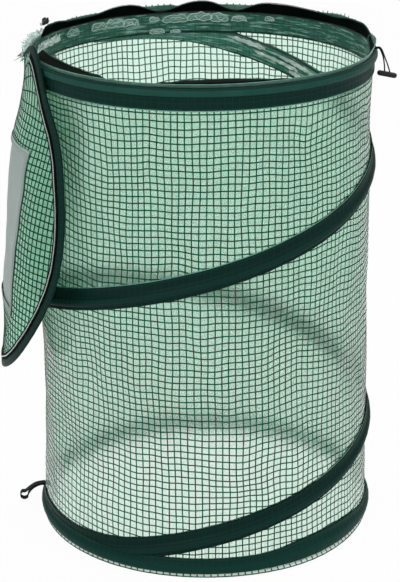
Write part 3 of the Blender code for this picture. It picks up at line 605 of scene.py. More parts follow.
class Finish:
    """A material being made. node() adds any node and returns one of its outputs."""

    def __init__(self, name, kept_in=None):
        self.made = (bpy.data.materials if kept_in is None else kept_in).new(name)
        self.made.use_nodes = True
        self.tree = self.made.node_tree
        self.tree.nodes.clear()

    def node(self, kind, settings, sockets, out=0):
        new = self.tree.nodes.new(kind)
        for key, value in settings.items():
            setattr(new, key, value)
        for key, value in sockets.items():
            socket = new.inputs[key]
            if isinstance(value, Value):
                self.tree.links.new(value.socket, socket)
            elif isinstance(value, tuple) and len(value) == 3 and len(socket.default_value) == 4:
                socket.default_value = (*value, 1.0)
            else:
                socket.default_value = value
        return Value(self, new.outputs[out]) if new.outputs else None

    def place(self):
        """Object coordinates, in metres."""
        return self.node("ShaderNodeTexCoord", {}, {}, "Object")

    def flat(self):
        """The piece's own UV map, as two values in metres."""
        uv = self.node("ShaderNodeUVMap", {}, {})
        return [self.node("ShaderNodeSeparateXYZ", {}, {0: uv}, axis) for axis in (0, 1)]

    def noise(self, scale, detail=2.0, roughness=0.5, vector=None):
        sockets = {"Scale": scale, "Detail": detail, "Roughness": roughness}
        sockets["Vector"] = self.place() if vector is None else vector
        return self.node("ShaderNodeTexNoise", {}, sockets)

    def cloud(self, scale):
        return self.noise(scale, 3.0, 0.6)

    def step(self, value, low, high):
        sockets = {"Value": value, "From Min": low, "From Max": high}
        return self.node("ShaderNodeMapRange", {"interpolation_type": "SMOOTHSTEP"}, sockets)

    def threads(self, along, down, low, high):
        """The scrim's threads in relief, on the piece's own map."""
        warp, weft = (abs((way / SCRIM).fraction() - 0.5) for way in (along, down))
        return self.step(warp.most(weft), low, high)

    def mix(self, share, a, b):
        return self.node("ShaderNodeMix", {"data_type": "RGBA"}, {0: share, 6: a, 7: b}, 2)

    def mottled(self, share, colour, dark, light, limit=1.0):
        """A colour that goes from dark times to light times itself."""
        return self.mix(share, tuple(c * dark for c in colour), tuple(min(c * light, limit) for c in colour))

    def bump(self, height, distance, strength):
        return self.node("ShaderNodeBump", {}, {"Height": height, "Distance": distance, "Strength": strength})

    def show(self, shader, end="ShaderNodeOutputMaterial"):
        self.node(end, {}, {0: shader})
        return self.made

    def coat(self, colour, roughness, normal=None, **more):
        """The surface itself. In a name of more, _ stands for a space."""
        sockets = {"Base Color": colour, "Roughness": roughness}
        if normal is not None:
            sockets["Normal"] = normal
        sockets.update({key.replace("_", " "): value for key, value in more.items()})
        return self.node("ShaderNodeBsdfPrincipled", {}, sockets)


def film_finish(name, colour, blur, milk, lower_lit_tint=None, cloudy=0.04, bend=1.25, gloss=0.2, crinkles=0.35):
    """Clear film: it lets the light through tinted and blurred, a little milky, and its crinkles glint.
    A second tint can make its bottom part paler: painted light.
    """
    f = Finish(name)
    crinkle = f.noise(140.0, 3.0, 0.6) + 0.5 * f.noise(420.0)
    tint = f.mottled(f.cloud(17.0), colour, 1 - cloudy, 1 + cloudy, 0.995)
    # Painted light: below about 0.2 to 0.42 m the film is tinted paler, for the stronger light seen through
    # the bottom of the wall
    if lower_lit_tint is not None:
        height = f.node("ShaderNodeSeparateXYZ", {}, {0: f.place()}, 2)
        lit_edge_noise = f.noise(6.0, 3.0, 0.55)
        tint = f.mix(1.0 - f.step(height + 0.16 * (lit_edge_noise - 0.5), 0.20, 0.42), tint, lower_lit_tint)
    return f.show(f.coat(
        tint, blur, f.bump(crinkle, 0.0009, crinkles), IOR=bend, Transmission_Weight=1.0 - milk,
        Coat_Weight=gloss, Coat_Roughness=0.14,
    ))


def yarn_finish(name, colour, lit):
    """Printed scrim yarn: dark green in front, and greener where the light comes through it."""
    f = Finish(name)
    tint = f.mottled(f.cloud(60.0), colour, 0.7, 1.5)
    front = f.coat(tint, 0.6, f.bump(f.noise(2200.0), 0.0002, 0.5), Specular_IOR_Level=0.12)
    behind = f.node("ShaderNodeBsdfTranslucent", {}, {"Color": lit})
    return f.show(f.node("ShaderNodeMixShader", {}, {0: 0.45, 1: front, 2: behind}))


def tape_finish(name, dark, light, bead=None):
    """Laminated tape: dark green with the scrim's faint relief under it, and a paler bead: a painted
    highlight on its crest.
    """
    f = Finish(name)
    along, down = f.flat()
    relief = f.threads(along, down, 0.40, 0.48)
    cloud = f.cloud(28.0)
    fine = f.noise(900.0)
    colour = f.mix(0.3 * cloud + 0.35 * relief + 0.15 * fine, dark, light)
    # Painted highlight: the bead's crest is mixed towards a paler colour, as if it caught the light
    if bead is not None:
        start, end, crest_highlight = bead
        ridge = f.step(down, start, start + 0.0018) * (1.0 - f.step(down, end - 0.0018, end))
        colour = f.mix(ridge * (0.5 + 0.6 * cloud), colour, crest_highlight)
    height = 0.5 * relief + 0.12 * fine + 0.4 * f.cloud(130.0)
    roughness = 0.5 - 0.10 * relief + 0.12 * (cloud - 0.5)
    return f.show(f.coat(colour, roughness, f.bump(height, 0.0006, 0.5), Specular_IOR_Level=0.05))


def inside_finish(name, dark, light, glint_colour):
    """The film side of a tape: mid green through clear film, with pale lines and spots on its creases that
    are painted highlights.
    """
    f = Finish(name)
    along, down = f.flat()
    relief = f.threads(along, down, 0.38, 0.47)
    along_way = f.node("ShaderNodeCombineXYZ", {}, {0: along * 26.0, 1: down * 300.0})
    across_way = f.node("ShaderNodeCombineXYZ", {}, {0: along * 170.0, 1: down * 90.0, 2: 4.0})
    glint_streak = f.step(f.noise(1.0, 3.0, 0.62, along_way), 0.51, 0.66)
    glint_patch = f.step(f.noise(1.0, 3.0, 0.7, across_way), 0.58, 0.74)
    cloud = f.cloud(24.0)
    colour = f.mix(0.8 * cloud, dark, light)
    colour = f.mix(0.55 * relief, colour, tuple(0.45 * c for c in dark))
    # Painted highlights: pale lines and spots where the creases would catch the light
    colour = f.mix((0.75 * glint_streak + 0.45 * glint_patch * cloud).least(0.9), colour, glint_colour)
    # Darker along both edges of the ply
    hem = f.step(down, 0.0014, 0.0030) * (1.0 - f.step(down, 0.0272, 0.0288))
    colour = f.mix(hem, tuple(0.2 * c for c in dark), colour)
    height = glint_streak + 0.7 * glint_patch + 0.4 * f.cloud(240.0)
    return f.show(f.coat(
        colour, 0.30 + 0.2 * (1.0 - glint_streak) * cloud, f.bump(height, 0.0008, 0.5), Specular_IOR_Level=0.2,
        Coat_Weight=0.15, Coat_Roughness=0.12,
    ))


def woven_finish(name, dark, light, pitch=0.0011, gloss=0.08):
    """Woven tape: a plain weave on the piece's own map, with fluff and slight fading, and painted light and
    shade: raised threads paler, hollows darker.
    """
    f = Finish(name)
    along, down = f.flat()
    over = (along / pitch + 0.5 * (down / pitch - (down / pitch).fraction())).fraction()
    ridge = abs(over - 0.5) * 2.0
    rib = abs((down / pitch).fraction() - 0.5) * 2.0
    height = (1.0 - ridge * ridge) * (1.0 - rib * rib)
    # Painted light and shade: the raised threads are paler and the hollows between them darker
    colour = f.mix(0.65 * height + 0.35 * f.cloud(60.0), dark, light)
    normal = f.bump(height + 0.3 * f.noise(2600.0), 0.0004, 0.7)
    return f.show(f.coat(colour, 0.7, normal, Specular_IOR_Level=gloss))


def plain_finish(name, colour, roughness, metallic=0.0, spread=0.15, grain=700.0, gloss=0.5):
    """A moulded or drawn surface with slight mottling, fine grain and worn spots."""
    f = Finish(name)
    cloud = f.cloud(90.0)
    tint = f.mottled(cloud, colour, 1 - spread, 1 + 2 * spread)
    normal = f.bump(f.noise(grain, 3.0), 0.0002, 0.5)
    roughness = roughness + 0.2 * (cloud - 0.5)
    return f.show(f.coat(tint, roughness, normal, Metallic=metallic, Specular_IOR_Level=gloss))


def mesh_finish(name, colour, pitch, cover):
    """Fine insect mesh: tiny holes between round threads, read from the piece's own map."""
    f = Finish(name)
    warp, weft = (abs((way / pitch).fraction() - 0.5) * 2.0 for way in f.flat())
    thread = warp.most(weft)
    tint = f.mottled(f.cloud(22.0), colour, 0.86, 1.12)
    share = cover + (1.0 - cover) * f.step(thread, 0.45, 0.75)
    return f.show(f.coat(tint, 0.62, f.bump(thread, 0.0003, 0.6), Alpha=share))


# Finishes
# Painted light: the second tint makes the bottom of the wall paler than its top
WALL_FILM = film_finish(
    "clear_wall_film", (0.755, 0.997, 0.865), lower_lit_tint=(0.835, 0.999, 0.91), blur=0.21, milk=0.07
)
LID_FILM = film_finish("clear_lid_film", (0.42, 0.84, 0.62), blur=0.25, milk=0.36)
EDGE_FILM = film_finish("cut_film_edge", (0.34, 0.66, 0.54), blur=0.3, milk=0.12)
HEM_FILM = film_finish("hem_film", (0.84, 0.96, 0.91), blur=0.3, milk=0.4)
FLOOR_FILM = film_finish(
    "clear_floor_film", (0.97, 0.998, 0.985), blur=0.06, bend=1.03, gloss=0.0, milk=0.0, crinkles=0.1
)
CRUMPLED_FILM = film_finish(
    "crumpled_film", (0.74, 0.97, 0.88), blur=0.14, cloudy=0.02, bend=1.4, gloss=0.6, milk=0.20, crinkles=0.9
)
LOOSE_FILM = film_finish(
    "loose_film", (0.68, 0.96, 0.85), blur=0.12, cloudy=0.02, bend=1.35, gloss=0.4, milk=0.11, crinkles=0.4
)
FROSTED_FILM = film_finish(
    "frayed_film", (0.80, 0.96, 0.90), blur=0.25, cloudy=0.02, bend=1.45, gloss=0.8, milk=0.5, crinkles=0.8
)
SCRIM_YARN = yarn_finish("scrim_yarn", (0.001, 0.052, 0.025), (0.010, 0.480, 0.230))
LID_SCRIM_YARN = yarn_finish("lid_scrim_yarn", (0.001, 0.055, 0.030), (0.005, 0.300, 0.150))
# Painted light: the floor's scrim yarn is paler than the wall's, standing in for light on the floor inside
FLOOR_YARN_BRIGHTENED = yarn_finish("floor_scrim_yarn_brightened", (0.10, 0.40, 0.28), (0.30, 0.75, 0.55))
GREEN, GREEN_PALE = (0.0022, 0.0175, 0.0130), (0.0075, 0.0380, 0.0300)
# The third value of each bead is the colour of its painted highlight
RIM_BAND_FINISH = tape_finish(
    "rim_band_tape", GREEN, GREEN_PALE, bead=(0.0166, 0.0262, (0.014, 0.074, 0.056))
)
BASE_BAND_FINISH = tape_finish(
    "base_band_tape", (0.0030, 0.0270, 0.0205), (0.0085, 0.0460, 0.0370),
    bead=(0.0030, 0.0120, (0.005, 0.040, 0.032)),
)
SPIRAL_BAND_FINISH = tape_finish(
    "spiral_band_tape", (0.0020, 0.0155, 0.0120), (0.0062, 0.0340, 0.0270),
    bead=(0.0066, 0.0156, (0.005, 0.030, 0.024)),
)
# The third colour of each is its painted highlight
INSIDE_FINISH = inside_finish("band_inside", (0.010, 0.070, 0.046), (0.044, 0.190, 0.140), (0.32, 0.58, 0.48))
# Painted light: the spiral's and the base band's insides are paler copies of the inside finish, standing in
# for light that does not reach inside
SPIRAL_INSIDE_LIT_FINISH = inside_finish(
    "spiral_inside_painted_light", (0.016, 0.110, 0.075), (0.070, 0.280, 0.205), (0.42, 0.68, 0.58)
)
BASE_INSIDE_LIT_FINISH = inside_finish(
    "base_inside_painted_light", (0.030, 0.260, 0.180), (0.080, 0.420, 0.310), (0.35, 0.65, 0.54)
)
FRILL_FINISH = inside_finish("film_frill", (0.006, 0.062, 0.040), (0.020, 0.125, 0.086), (0.12, 0.32, 0.24))
# Painted highlight: the film's edges get this paler colour, as if they caught the light
LIP_HIGHLIGHT_FINISH = plain_finish("film_lip_highlight", (0.085, 0.24, 0.185), 0.3, spread=0.6, grain=300.0, gloss=0.3)
# Painted highlight: pale lines along the crushed film's folds
CREASE_HIGHLIGHT_FINISH = plain_finish("film_crease_highlight", (0.42, 0.74, 0.61), 0.25, spread=0.4, grain=300.0, gloss=0.6)
BINDING_FINISH = tape_finish("lid_binding_tape", (0.0016, 0.0150, 0.0115), (0.0055, 0.0380, 0.0300))
ZIP_TAPE_FINISH = woven_finish(
    "zip_tape_weave", (0.0003, 0.0014, 0.0011), (0.0012, 0.0046, 0.0036), gloss=0.03
)
WEBBING_FINISH = woven_finish("webbing_weave", (0.0030, 0.0060, 0.0050), (0.030, 0.042, 0.038), pitch=0.0016)
COIL_FINISH = plain_finish("zip_coil_nylon", (0.66, 0.74, 0.70), 0.35)
RIM_COIL_FINISH = plain_finish("rim_coil_nylon", (0.014, 0.060, 0.042), 0.4, gloss=0.25)
VENT_FINISH = mesh_finish("vent_insect_mesh", (0.36, 0.43, 0.41), 0.0016, 0.72)
WELT_FINISH = woven_finish("vent_welt_weave", (0.25, 0.31, 0.29), (0.37, 0.44, 0.42))
WELT_STITCH_FINISH = plain_finish("grey_stitching", (0.26, 0.33, 0.31), 0.6)
STITCH_FINISH = plain_finish("green_stitching", (0.006, 0.030, 0.023), 0.6, gloss=0.2)
WHITE_STITCH_FINISH = plain_finish("white_stitching", (0.66, 0.72, 0.69), 0.6)
STEEL_FINISH = plain_finish("spring_steel", (0.48, 0.49, 0.50), 0.34, metallic=1.0, spread=0.1)
PLASTIC_FINISH = plain_finish("black_plastic", (0.004, 0.007, 0.006), 0.42, spread=0.3, gloss=0.3)
METAL_FINISH = plain_finish("black_zip_metal", (0.012, 0.017, 0.015), 0.36, metallic=0.5, spread=0.3)
CORD_FINISH = woven_finish("toggle_cord_braid", (0.0020, 0.0035, 0.0030), (0.010, 0.016, 0.014), pitch=0.0008)


# Camera, cord, light and floor
def set_camera():
    """Looks down at the front from a few steps away, as the photograph does."""
    place, pitch, yaw, roll = (0, -2.2669, 1.1619), 0.3576, -0.0023, -0.008
    ahead = Vector((math.sin(yaw) * math.cos(pitch), math.cos(yaw) * math.cos(pitch), -math.sin(pitch)))
    right = ahead.cross(Vector((0, 0, 1))).normalized()
    up = right.cross(ahead)
    right, up = right * math.cos(roll) + up * math.sin(roll), up * math.cos(roll) - right * math.sin(roll)
    data = bpy.data.cameras.new("camera")
    data.lens, data.sensor_width, data.clip_end = 109.58, 36.0, 50.0
    camera = added("camera", data)
    turn = Matrix((right, up, -ahead)).transposed().to_4x4()
    camera.matrix_world = Matrix.Translation(place) @ turn
    bpy.context.scene.camera = camera


def toggle_bar(bar_r, half, seat):
    """The moulded toggle: a bar with round ends and a slight waist, turned about its own length."""
    straight = half - bar_r
    bm = bmesh.new()
    outline = []
    for start, side in ((90, 1), (0, -1)):
        for k in range(9):
            turn = math.radians(start - 90 * k / 8)
            outline.append((bar_r * math.cos(turn), side * straight + bar_r * math.sin(turn)))
    verts = []
    for r, z in outline:
        if abs(z) < straight:
            r = bar_r * (1 - 0.10 * math.exp(-((z / 0.006) ** 2)))
        verts.append(bm.verts.new((max(r, 0.0), 0, z)))
    edges = [bm.edges.new(pair) for pair in zip(verts, verts[1:])]
    bmesh.ops.spin(
        bm, geom=verts + edges, cent=(0, 0, 0), axis=(0, 0, 1), angle=2 * math.pi, steps=32, use_merge=True
    )
    bmesh.ops.remove_doubles(bm, verts=bm.verts[:], dist=1e-6)
    bmesh.ops.transform(bm, matrix=seat @ Matrix.Rotation(math.radians(100.0), 4, "Y"), verts=bm.verts[:])
    bar = finished(bm, "toggle_bar_moulded", PLASTIC_FINISH, angle=60)
    return rides(bar, "toggle", ["toggle_bar"], "black_plastic")


def toggle_cord():
    """The doubled cord that holds the carrying toggle, from the rim band and back into the bar."""
    reach, bar_z, apart, bar_r, root, root_z = 0.2400, 0.6215, 0.0033, 0.0035, RIM_R + 0.0009, 0.6552
    inner, outer, slope = reach - apart, reach + apart, math.tan(math.radians(10.0))
    inner_end, outer_end = bar_z + apart * slope + GAP, bar_z - apart * slope + GAP
    route = [
        (inner, 0.0, inner_end), (inner, 0.0, inner_end + bar_r), (inner - 0.0004, -0.0010, bar_z + 0.0120),
        (inner - 0.0020, -0.0020, bar_z + 0.0220), (inner - 0.0048, -0.0026, bar_z + 0.0300),
        (root + 0.0062, -0.0026, root_z + 0.0006), (root + 0.0016, -0.0021, root_z + 0.0002),
        (root, 0.0, root_z),
        (root + 0.0016, 0.0021, root_z + 0.0002), (root + 0.0062, 0.0026, root_z + 0.0010),
        (inner - 0.0040, 0.0026, bar_z + 0.0310), (inner - 0.0005, 0.0022, bar_z + 0.0225),
        (outer - 0.0030, 0.0012, bar_z + 0.0125), (outer, 0.0, outer_end + bar_r), (outer, 0.0, outer_end),
    ]
    spin = Matrix.Rotation(math.radians(-6.0), 4, "Z")
    points = [spin @ p for p in spline(route, 3 * len(route) - 3)]
    bar = toggle_bar(bar_r, 0.0130, spin @ Matrix.Translation((reach, 0, bar_z)))
    cord = poly_curve("toggle_cord_braided", points, 0.0009, 4)
    cord.data.materials.append(CORD_FINISH)
    rides(cord, "toggle", ["toggle_cord"], "black_tape")
    length = sum((a - b).length for a, b in zip(points, points[1:]))
    tuple(points[0])


def looked_at(f):
    """1 where the eye, a mirror or glass looks at the background, 0 for the light on the object."""
    kinds = ("Is Camera Ray", "Is Transmission Ray", "Is Glossy Ray")
    eye, through, mirror = (f.node("ShaderNodeLightPath", {}, {}, kind) for kind in kinds)
    return eye.most(through).most(mirror)


def set_light():
    """A white room: lamps give the form, and the eye, mirrors and glass see plain white behind."""
    room = Finish("white_room", bpy.data.worlds)
    strength = 0.60 + 0.40 * looked_at(room)
    back = room.node("ShaderNodeBackground", {}, {"Color": (1.0, 1.0, 1.0), "Strength": strength})
    bpy.context.scene.world = room.show(back, "ShaderNodeOutputWorld")
    lamps = (
        ("key", (-1.3, -1.9, 2.1), 1.4, 22.0), ("fill", (1.8, -1.3, 1.3), 1.2, 9.0),
        ("top", (0.2, 0.5, 2.4), 1.2, 14.0),
    )
    for name, where, size, power in lamps:
        data = bpy.data.lights.new(name, "AREA")
        data.size, data.energy = size, power
        lamp = added(name, data)
        lamp.location = where
        look = Vector((0, 0, 0.35)) - Vector(where)
        lamp.rotation_euler = look.to_track_quat("-Z", "Y").to_euler()


def lay_floor():
    """A white floor that keeps the object's shadow."""
    f = Finish("pale_floor")
    lit = f.coat((0.93, 0.93, 0.93), 0.9)
    white = f.node("ShaderNodeEmission", {}, {"Color": (1.0, 1.0, 1.0), "Strength": 1.0})
    finish = f.show(f.node("ShaderNodeMixShader", {}, {0: looked_at(f) * 0.96, 1: lit, 2: white}))
    bm = bmesh.new()
    bmesh.ops.create_grid(bm, x_segments=8, y_segments=8, size=7.0)
    floor = finished(bm, "floor", finish)
    floor.location.z = -0.0006


set_camera()
toggle_cord()
set_light()
lay_floor()


# Wall: film and scrim
def build_wall():
    low, high = 0.0010, RIM_LOW + 0.0015
    tall = high - low
    around = 2 * math.pi * BASE_R

    def place(s, t):
        azimuth, z = 360 * s - 180, low + tall * t
        return at(azimuth, wall_r(z) + dent(azimuth, z), z)

    film = strip(
        "wall_film", 288, 100, place, (around, tall), WALL_FILM,
        ("base", ["cover_wall"], "clear_film", "wall"), closed=True, facing=outward, thick=FILM,
    )

    bm = bmesh.new()
    count = round(around / SCRIM)
    for k in range(count):
        azimuth = -180 + 360 * (k + 0.5) / count
        yarn(bm, [on_wall(azimuth, low + tall * j / 48, -0.0001) for j in range(49)], *THREAD, outward)
    yarns(bm, "wall_scrim_upright", SCRIM_YARN, "base", fold="wall")

    bm = bmesh.new()
    for k in range(int(tall / SCRIM)):
        points = [on_wall(360 * j / 200 - 180, low + 0.006 + SCRIM * k, 0.0002) for j in range(200)]
        yarn(bm, points + [points[0].copy()], *THREAD, outward)
    yarns(bm, "wall_scrim_level", SCRIM_YARN, "base", fold="wall")


build_wall()


# Bands
def hat(drop, width, half, soft):
    """A sewn sleeve's outline as (out, down from its upper edge), with a round bead for its wire."""
    line = [(0.0001, 0.0), (0.0009, 0.0002)]
    start = drop - half
    for share in (0.3, 0.6, 0.9):
        if start * share > 0.0004:
            line.append((0.0010, start * share))
    for k in range(1, 12):
        turn = math.pi * k / 12
        line.append((0.0009 + TUNNEL * math.sin(turn) ** soft * 1.04, drop - half * math.cos(turn)))
    end = drop + half
    for share in (0.12, 0.3, 0.5, 0.7, 0.9):
        line.append((0.0010 + 0.0004 * math.sin(math.pi * share), end + (width - end) * share))
    return line + [(0.0011, width - 0.0006), (0.0009, width - 0.0001), (0.0002, width)]


def along_line(line, t):
    """A point of a line of pairs, at the share t of its corners."""
    place = t * (len(line) - 1)
    i = min(int(place), len(line) - 2)
    a, b = line[i], line[i + 1]
    share = place - i
    return a[0] + (b[0] - a[0]) * share, a[1] + (b[1] - a[1]) * share


def band(name, top, line, span, finish, count, on, fade=None, bottom=None):
    """A sleeve wound round the wall: top(azimuth) is its upper edge's height, span its azimuths."""
    width = line[-1][1]

    def place(s, t):
        azimuth = share_of(span, s)
        out, down = along_line(line, 1 - t)
        high = top(azimuth)
        if bottom is not None:
            down *= (high - bottom) / width
        z, squeeze = high - down, 1.0
        if fade:
            lowest, highest = fade
            squeeze = step((min(z - lowest, highest - z) + 0.006) / 0.006)
            z = min(max(z, lowest), highest)
        ripple = 0.0004 * rough_round(azimuth, 40, 60 * down)
        ripple += 0.00024 * rough_round(azimuth, 90, 90 * down + 3)
        return at(azimuth, wall_r(z) + GAP + max(out * squeeze + ripple * step(out / 0.0009), 0.00015), z)

    return strip(
        name, count, len(line) - 1, place, (around_by(span), width), finish, on, closed=span == FULL,
        facing=outward, thick=PLY, angle=70, measure=lambda t: width - along_line(line, 1 - t)[1],
    )


def lining(name, low, high, span, finish, count, on, shrink=0.0, folds=1.0):
    """The tape's inner ply, on the inside of the film, crinkled and shiny."""
    def place(s, t):
        azimuth = share_of(span, s)
        a, b = low(azimuth), high(azimuth)
        z = a + (b - a) * t
        long_way = abs(rough_round(azimuth, 9, 62 * z / 0.28))
        long_way += 0.5 * abs(rough_round(azimuth, 21, 150 * z / 0.28))
        fold = folds * (0.0014 * long_way + 0.0005 * abs(rough_round(azimuth, 45, 9 * t)))
        return at(azimuth, wall_r(z) - FILM - 0.0007 - fold - shrink, z)

    return strip(
        name, count, 20, place, (around_by(span), SPIRAL_BAND), finish, on, closed=span == FULL,
        facing=inward, thick=0.0003, angle=45,
    )


def row(top, down, out, span):
    """A sewing line round a band: its points by distance, and its length."""
    first, last = span
    length = around_by(span)

    def point(distance):
        azimuth = first + (last - first) * distance / length
        z = top(azimuth) - down
        return at(azimuth, wall_r(z) + GAP + out, z)

    return point, length


def lip(name, edge, span, count, body, fold=None):
    """The thin edge of the film beside a band, paler than the band: partly the real cut edge, partly a
    painted highlight.
    """
    first, last = span
    bm = bmesh.new()
    points = []
    for k in range(count + 1):
        azimuth = first + (last - first) * k / count
        z = edge(azimuth) + 0.0003 * rough(0.23 * k, 4)
        points.append(at(azimuth, wall_r(z) + GAP + 0.0003 + 0.0004 * rough(0.11 * k, 8), z))
    yarn(bm, points, 0.0013, 0.0004, outward)
    yarns(bm, name, LIP_HIGHLIGHT_FINISH, body, "clear_film", fold)


def level(z):
    """A height that is the same all round."""
    return lambda azimuth: z


def build_hoop_bands():
    def base_top(azimuth):
        return BASE_TOP + 0.0085 * math.exp(-(((azimuth + 44) / 20) ** 4))

    top = level(RIM_TOP)
    line = hat(0.0060, RIM_TOP - RIM_LOW, 0.0056, 0.7)
    band("rim_band", top, line, FULL, RIM_BAND_FINISH, 240, ("rim", ["rim_tape"], "green_tape"))
    lining(
        "rim_band_inside", level(RIM_LOW), level(0.6556), FULL, INSIDE_FINISH, 300,
        ("rim", (), "green_tape"), shrink=0.0010, folds=1.5,
    )
    sewing("rim_stitches", [row(top, down, 0.0013, FULL) for down in (0.0136, 0.0262)], "rim")
    lip("rim_band_lip", level(RIM_LOW - 0.0006), FULL, 240, "rim")

    line = hat(BASE_TOP - BASE_WIRE_Z, BASE_TOP - BASE_LOW, 0.0066, 1.2)
    on = ("base", ["base_tape"], "green_tape")
    band("base_band", base_top, line, FULL, BASE_BAND_FINISH, 240, on, bottom=BASE_FOOT)
    on = ("base", (), "green_tape")
    lining("base_band_inside", level(BASE_FOOT), base_top, FULL, BASE_INSIDE_LIT_FINISH, 240, on)
    sewing("base_stitches", [row(base_top, 0.0022, 0.0012, FULL)], "base")


def build_spiral():
    def top(azimuth):
        turned = BACK - azimuth
        tail = 0.0352 * step((turned - 560) / 35) * step((640 - turned) / 20)
        return max(spiral_z(turned) + SPIRAL_BAND / 2, tail)

    span = (BACK + 43, BACK - 637)
    line = hat(SPIRAL_WIRE_DROP, SPIRAL_BAND, 0.0068, 1.2)
    fade = (BASE_TOP + GAP, RIM_LOW - GAP)
    on = ("base", ["spiral_tape"], "green_tape", "wall")
    band("spiral_band", top, line, span, SPIRAL_BAND_FINISH, 400, on, fade=fade)
    lining(
        "spiral_band_inside", lambda a: max(top(a) - SPIRAL_BAND, BASE_TOP), lambda a: min(top(a), RIM_LOW),
        span, SPIRAL_INSIDE_LIT_FINISH, 480, ("base", (), "green_tape", "wall"), folds=1.6,
    )
    rows = ((0.0018, 0.0012), (0.0130, 0.0012), (0.0282, 0.0013))
    rows = [row(top, down, out, (BACK - 20, BACK - 505)) for down, out in rows]
    sewing("spiral_stitches", rows, "base", "wall")
    lip("spiral_band_lip", lambda a: top(a) + 0.0006, (BACK - 24, BACK - 500), 360, "base", "wall")

    # Flakes by their azimuths, and by the shares of the band's width that they cover
    flakes = (
        (78, 66, 0.12, 0.34), (70, 52, 0.44, 0.62), (60, 44, 0.16, 0.36), (56, 38, 0.66, 0.86),
        (44, 33, 0.34, 0.56),
    )
    for k, (*span, high, low) in enumerate(flakes):
        def spot(azimuth, t):
            z = top(azimuth) - SPIRAL_BAND * (high + (low - high) * t)
            return at(azimuth, wall_r(z) - FLAKE_IN, z)

        crushed(
            f"spiral_crushed_film_{k}", span, spot, SPIRAL_BAND * (low - high), FROSTED_FILM, "base", "wall",
            seed=5.0 * k, depth=0.0018,
        )

    bm = bmesh.new()
    wire = []
    for k in range(-3, 68):
        z = spiral_z(7.5 * k) + SPIRAL_BAND / 2 - SPIRAL_WIRE_DROP
        if RIM_LOW - 0.006 > z > BASE_TOP + 0.006:
            wire.append(at(BACK - 7.5 * k, wall_r(z) + GAP + TUNNEL / 2, z))
    yarn(bm, wire, 2 * WIRE_R, 2 * WIRE_R, outward, sides=10)
    yarns(bm, "spiral_spring", STEEL_FINISH, "base", "spring_steel", "wall", ["spiral_wire"])


build_hoop_bands()
build_spiral()


# Foot: hem and floor
def build_foot():
    hem_tall = 0.0040

    def hem(s, t):
        azimuth = 360 * s - 180
        z = 0.0008 + hem_tall * t
        ripple = 0.0005 * rough_round(azimuth, 30, 70 * z)
        flap = 0.0040 * (1 - t) * math.exp(-(((azimuth + 55) / 24) ** 2))
        return at(azimuth, BASE_R + GAP + 0.0010 + 0.0006 * math.sin(math.pi * t) + ripple + flap, z)

    def on_hem(s, t, out):
        return hem(s, t) + out * outward(hem(s, t))

    strip(
        "floor_hem_folded", 240, 4, hem, (ROUND, hem_tall), HEM_FILM, ("base", ["floor_hem"], "clear_film"),
        closed=True, facing=outward, thick=PLY,
    )

    bm = bmesh.new()
    for k in range(159):
        yarn(bm, [on_hem((k + 0.5) / 159, t, 0.0003) for t in (0.05, 0.5, 0.95)], *THREAD, outward)
    points = [on_hem(j / 240, 0.06, 0.0004) for j in range(240)]
    yarn(bm, points + [points[0].copy()], *THREAD, outward)
    yarns(bm, "floor_hem_scrim", SCRIM_YARN, "base")

    def ground(s, t):
        r, azimuth = (BASE_R + 0.0008) * t, 360 * s
        if r >= 0.2:
            return at(azimuth, r, 0.0005)
        swell = 1 + rough(20 * r * round_way(azimuth)[0], 8, 20 * r)
        return at(azimuth, r, min(0.0005 + 0.0004 * step((0.21 - r) / 0.05) * swell, 0.0009))

    piece = strip(
        "floor_film", 120, 30, ground, (ROUND, BASE_R), FLOOR_FILM, ("base", ["floor_sheet"], "clear_film"),
        closed=True, thick=0.0004, facing=upward,
    )

    bm = bmesh.new()
    for c, half, turned in disc_threads(BASE_R):
        if half < 0.01:
            continue
        steps = max(int(half / 0.03), 2)
        points = []
        for j in range(-steps, steps + 1):
            x, y = wavering(c, half * j / steps, turned, 0.0012, 9, 40)
            points.append(Vector((x, y, 0.0012 if turned else 0.0010)))
        yarn(bm, points, 0.0009, 0.0003, upward)
    yarns(bm, "floor_scrim", FLOOR_YARN_BRIGHTENED, "base")


build_foot()


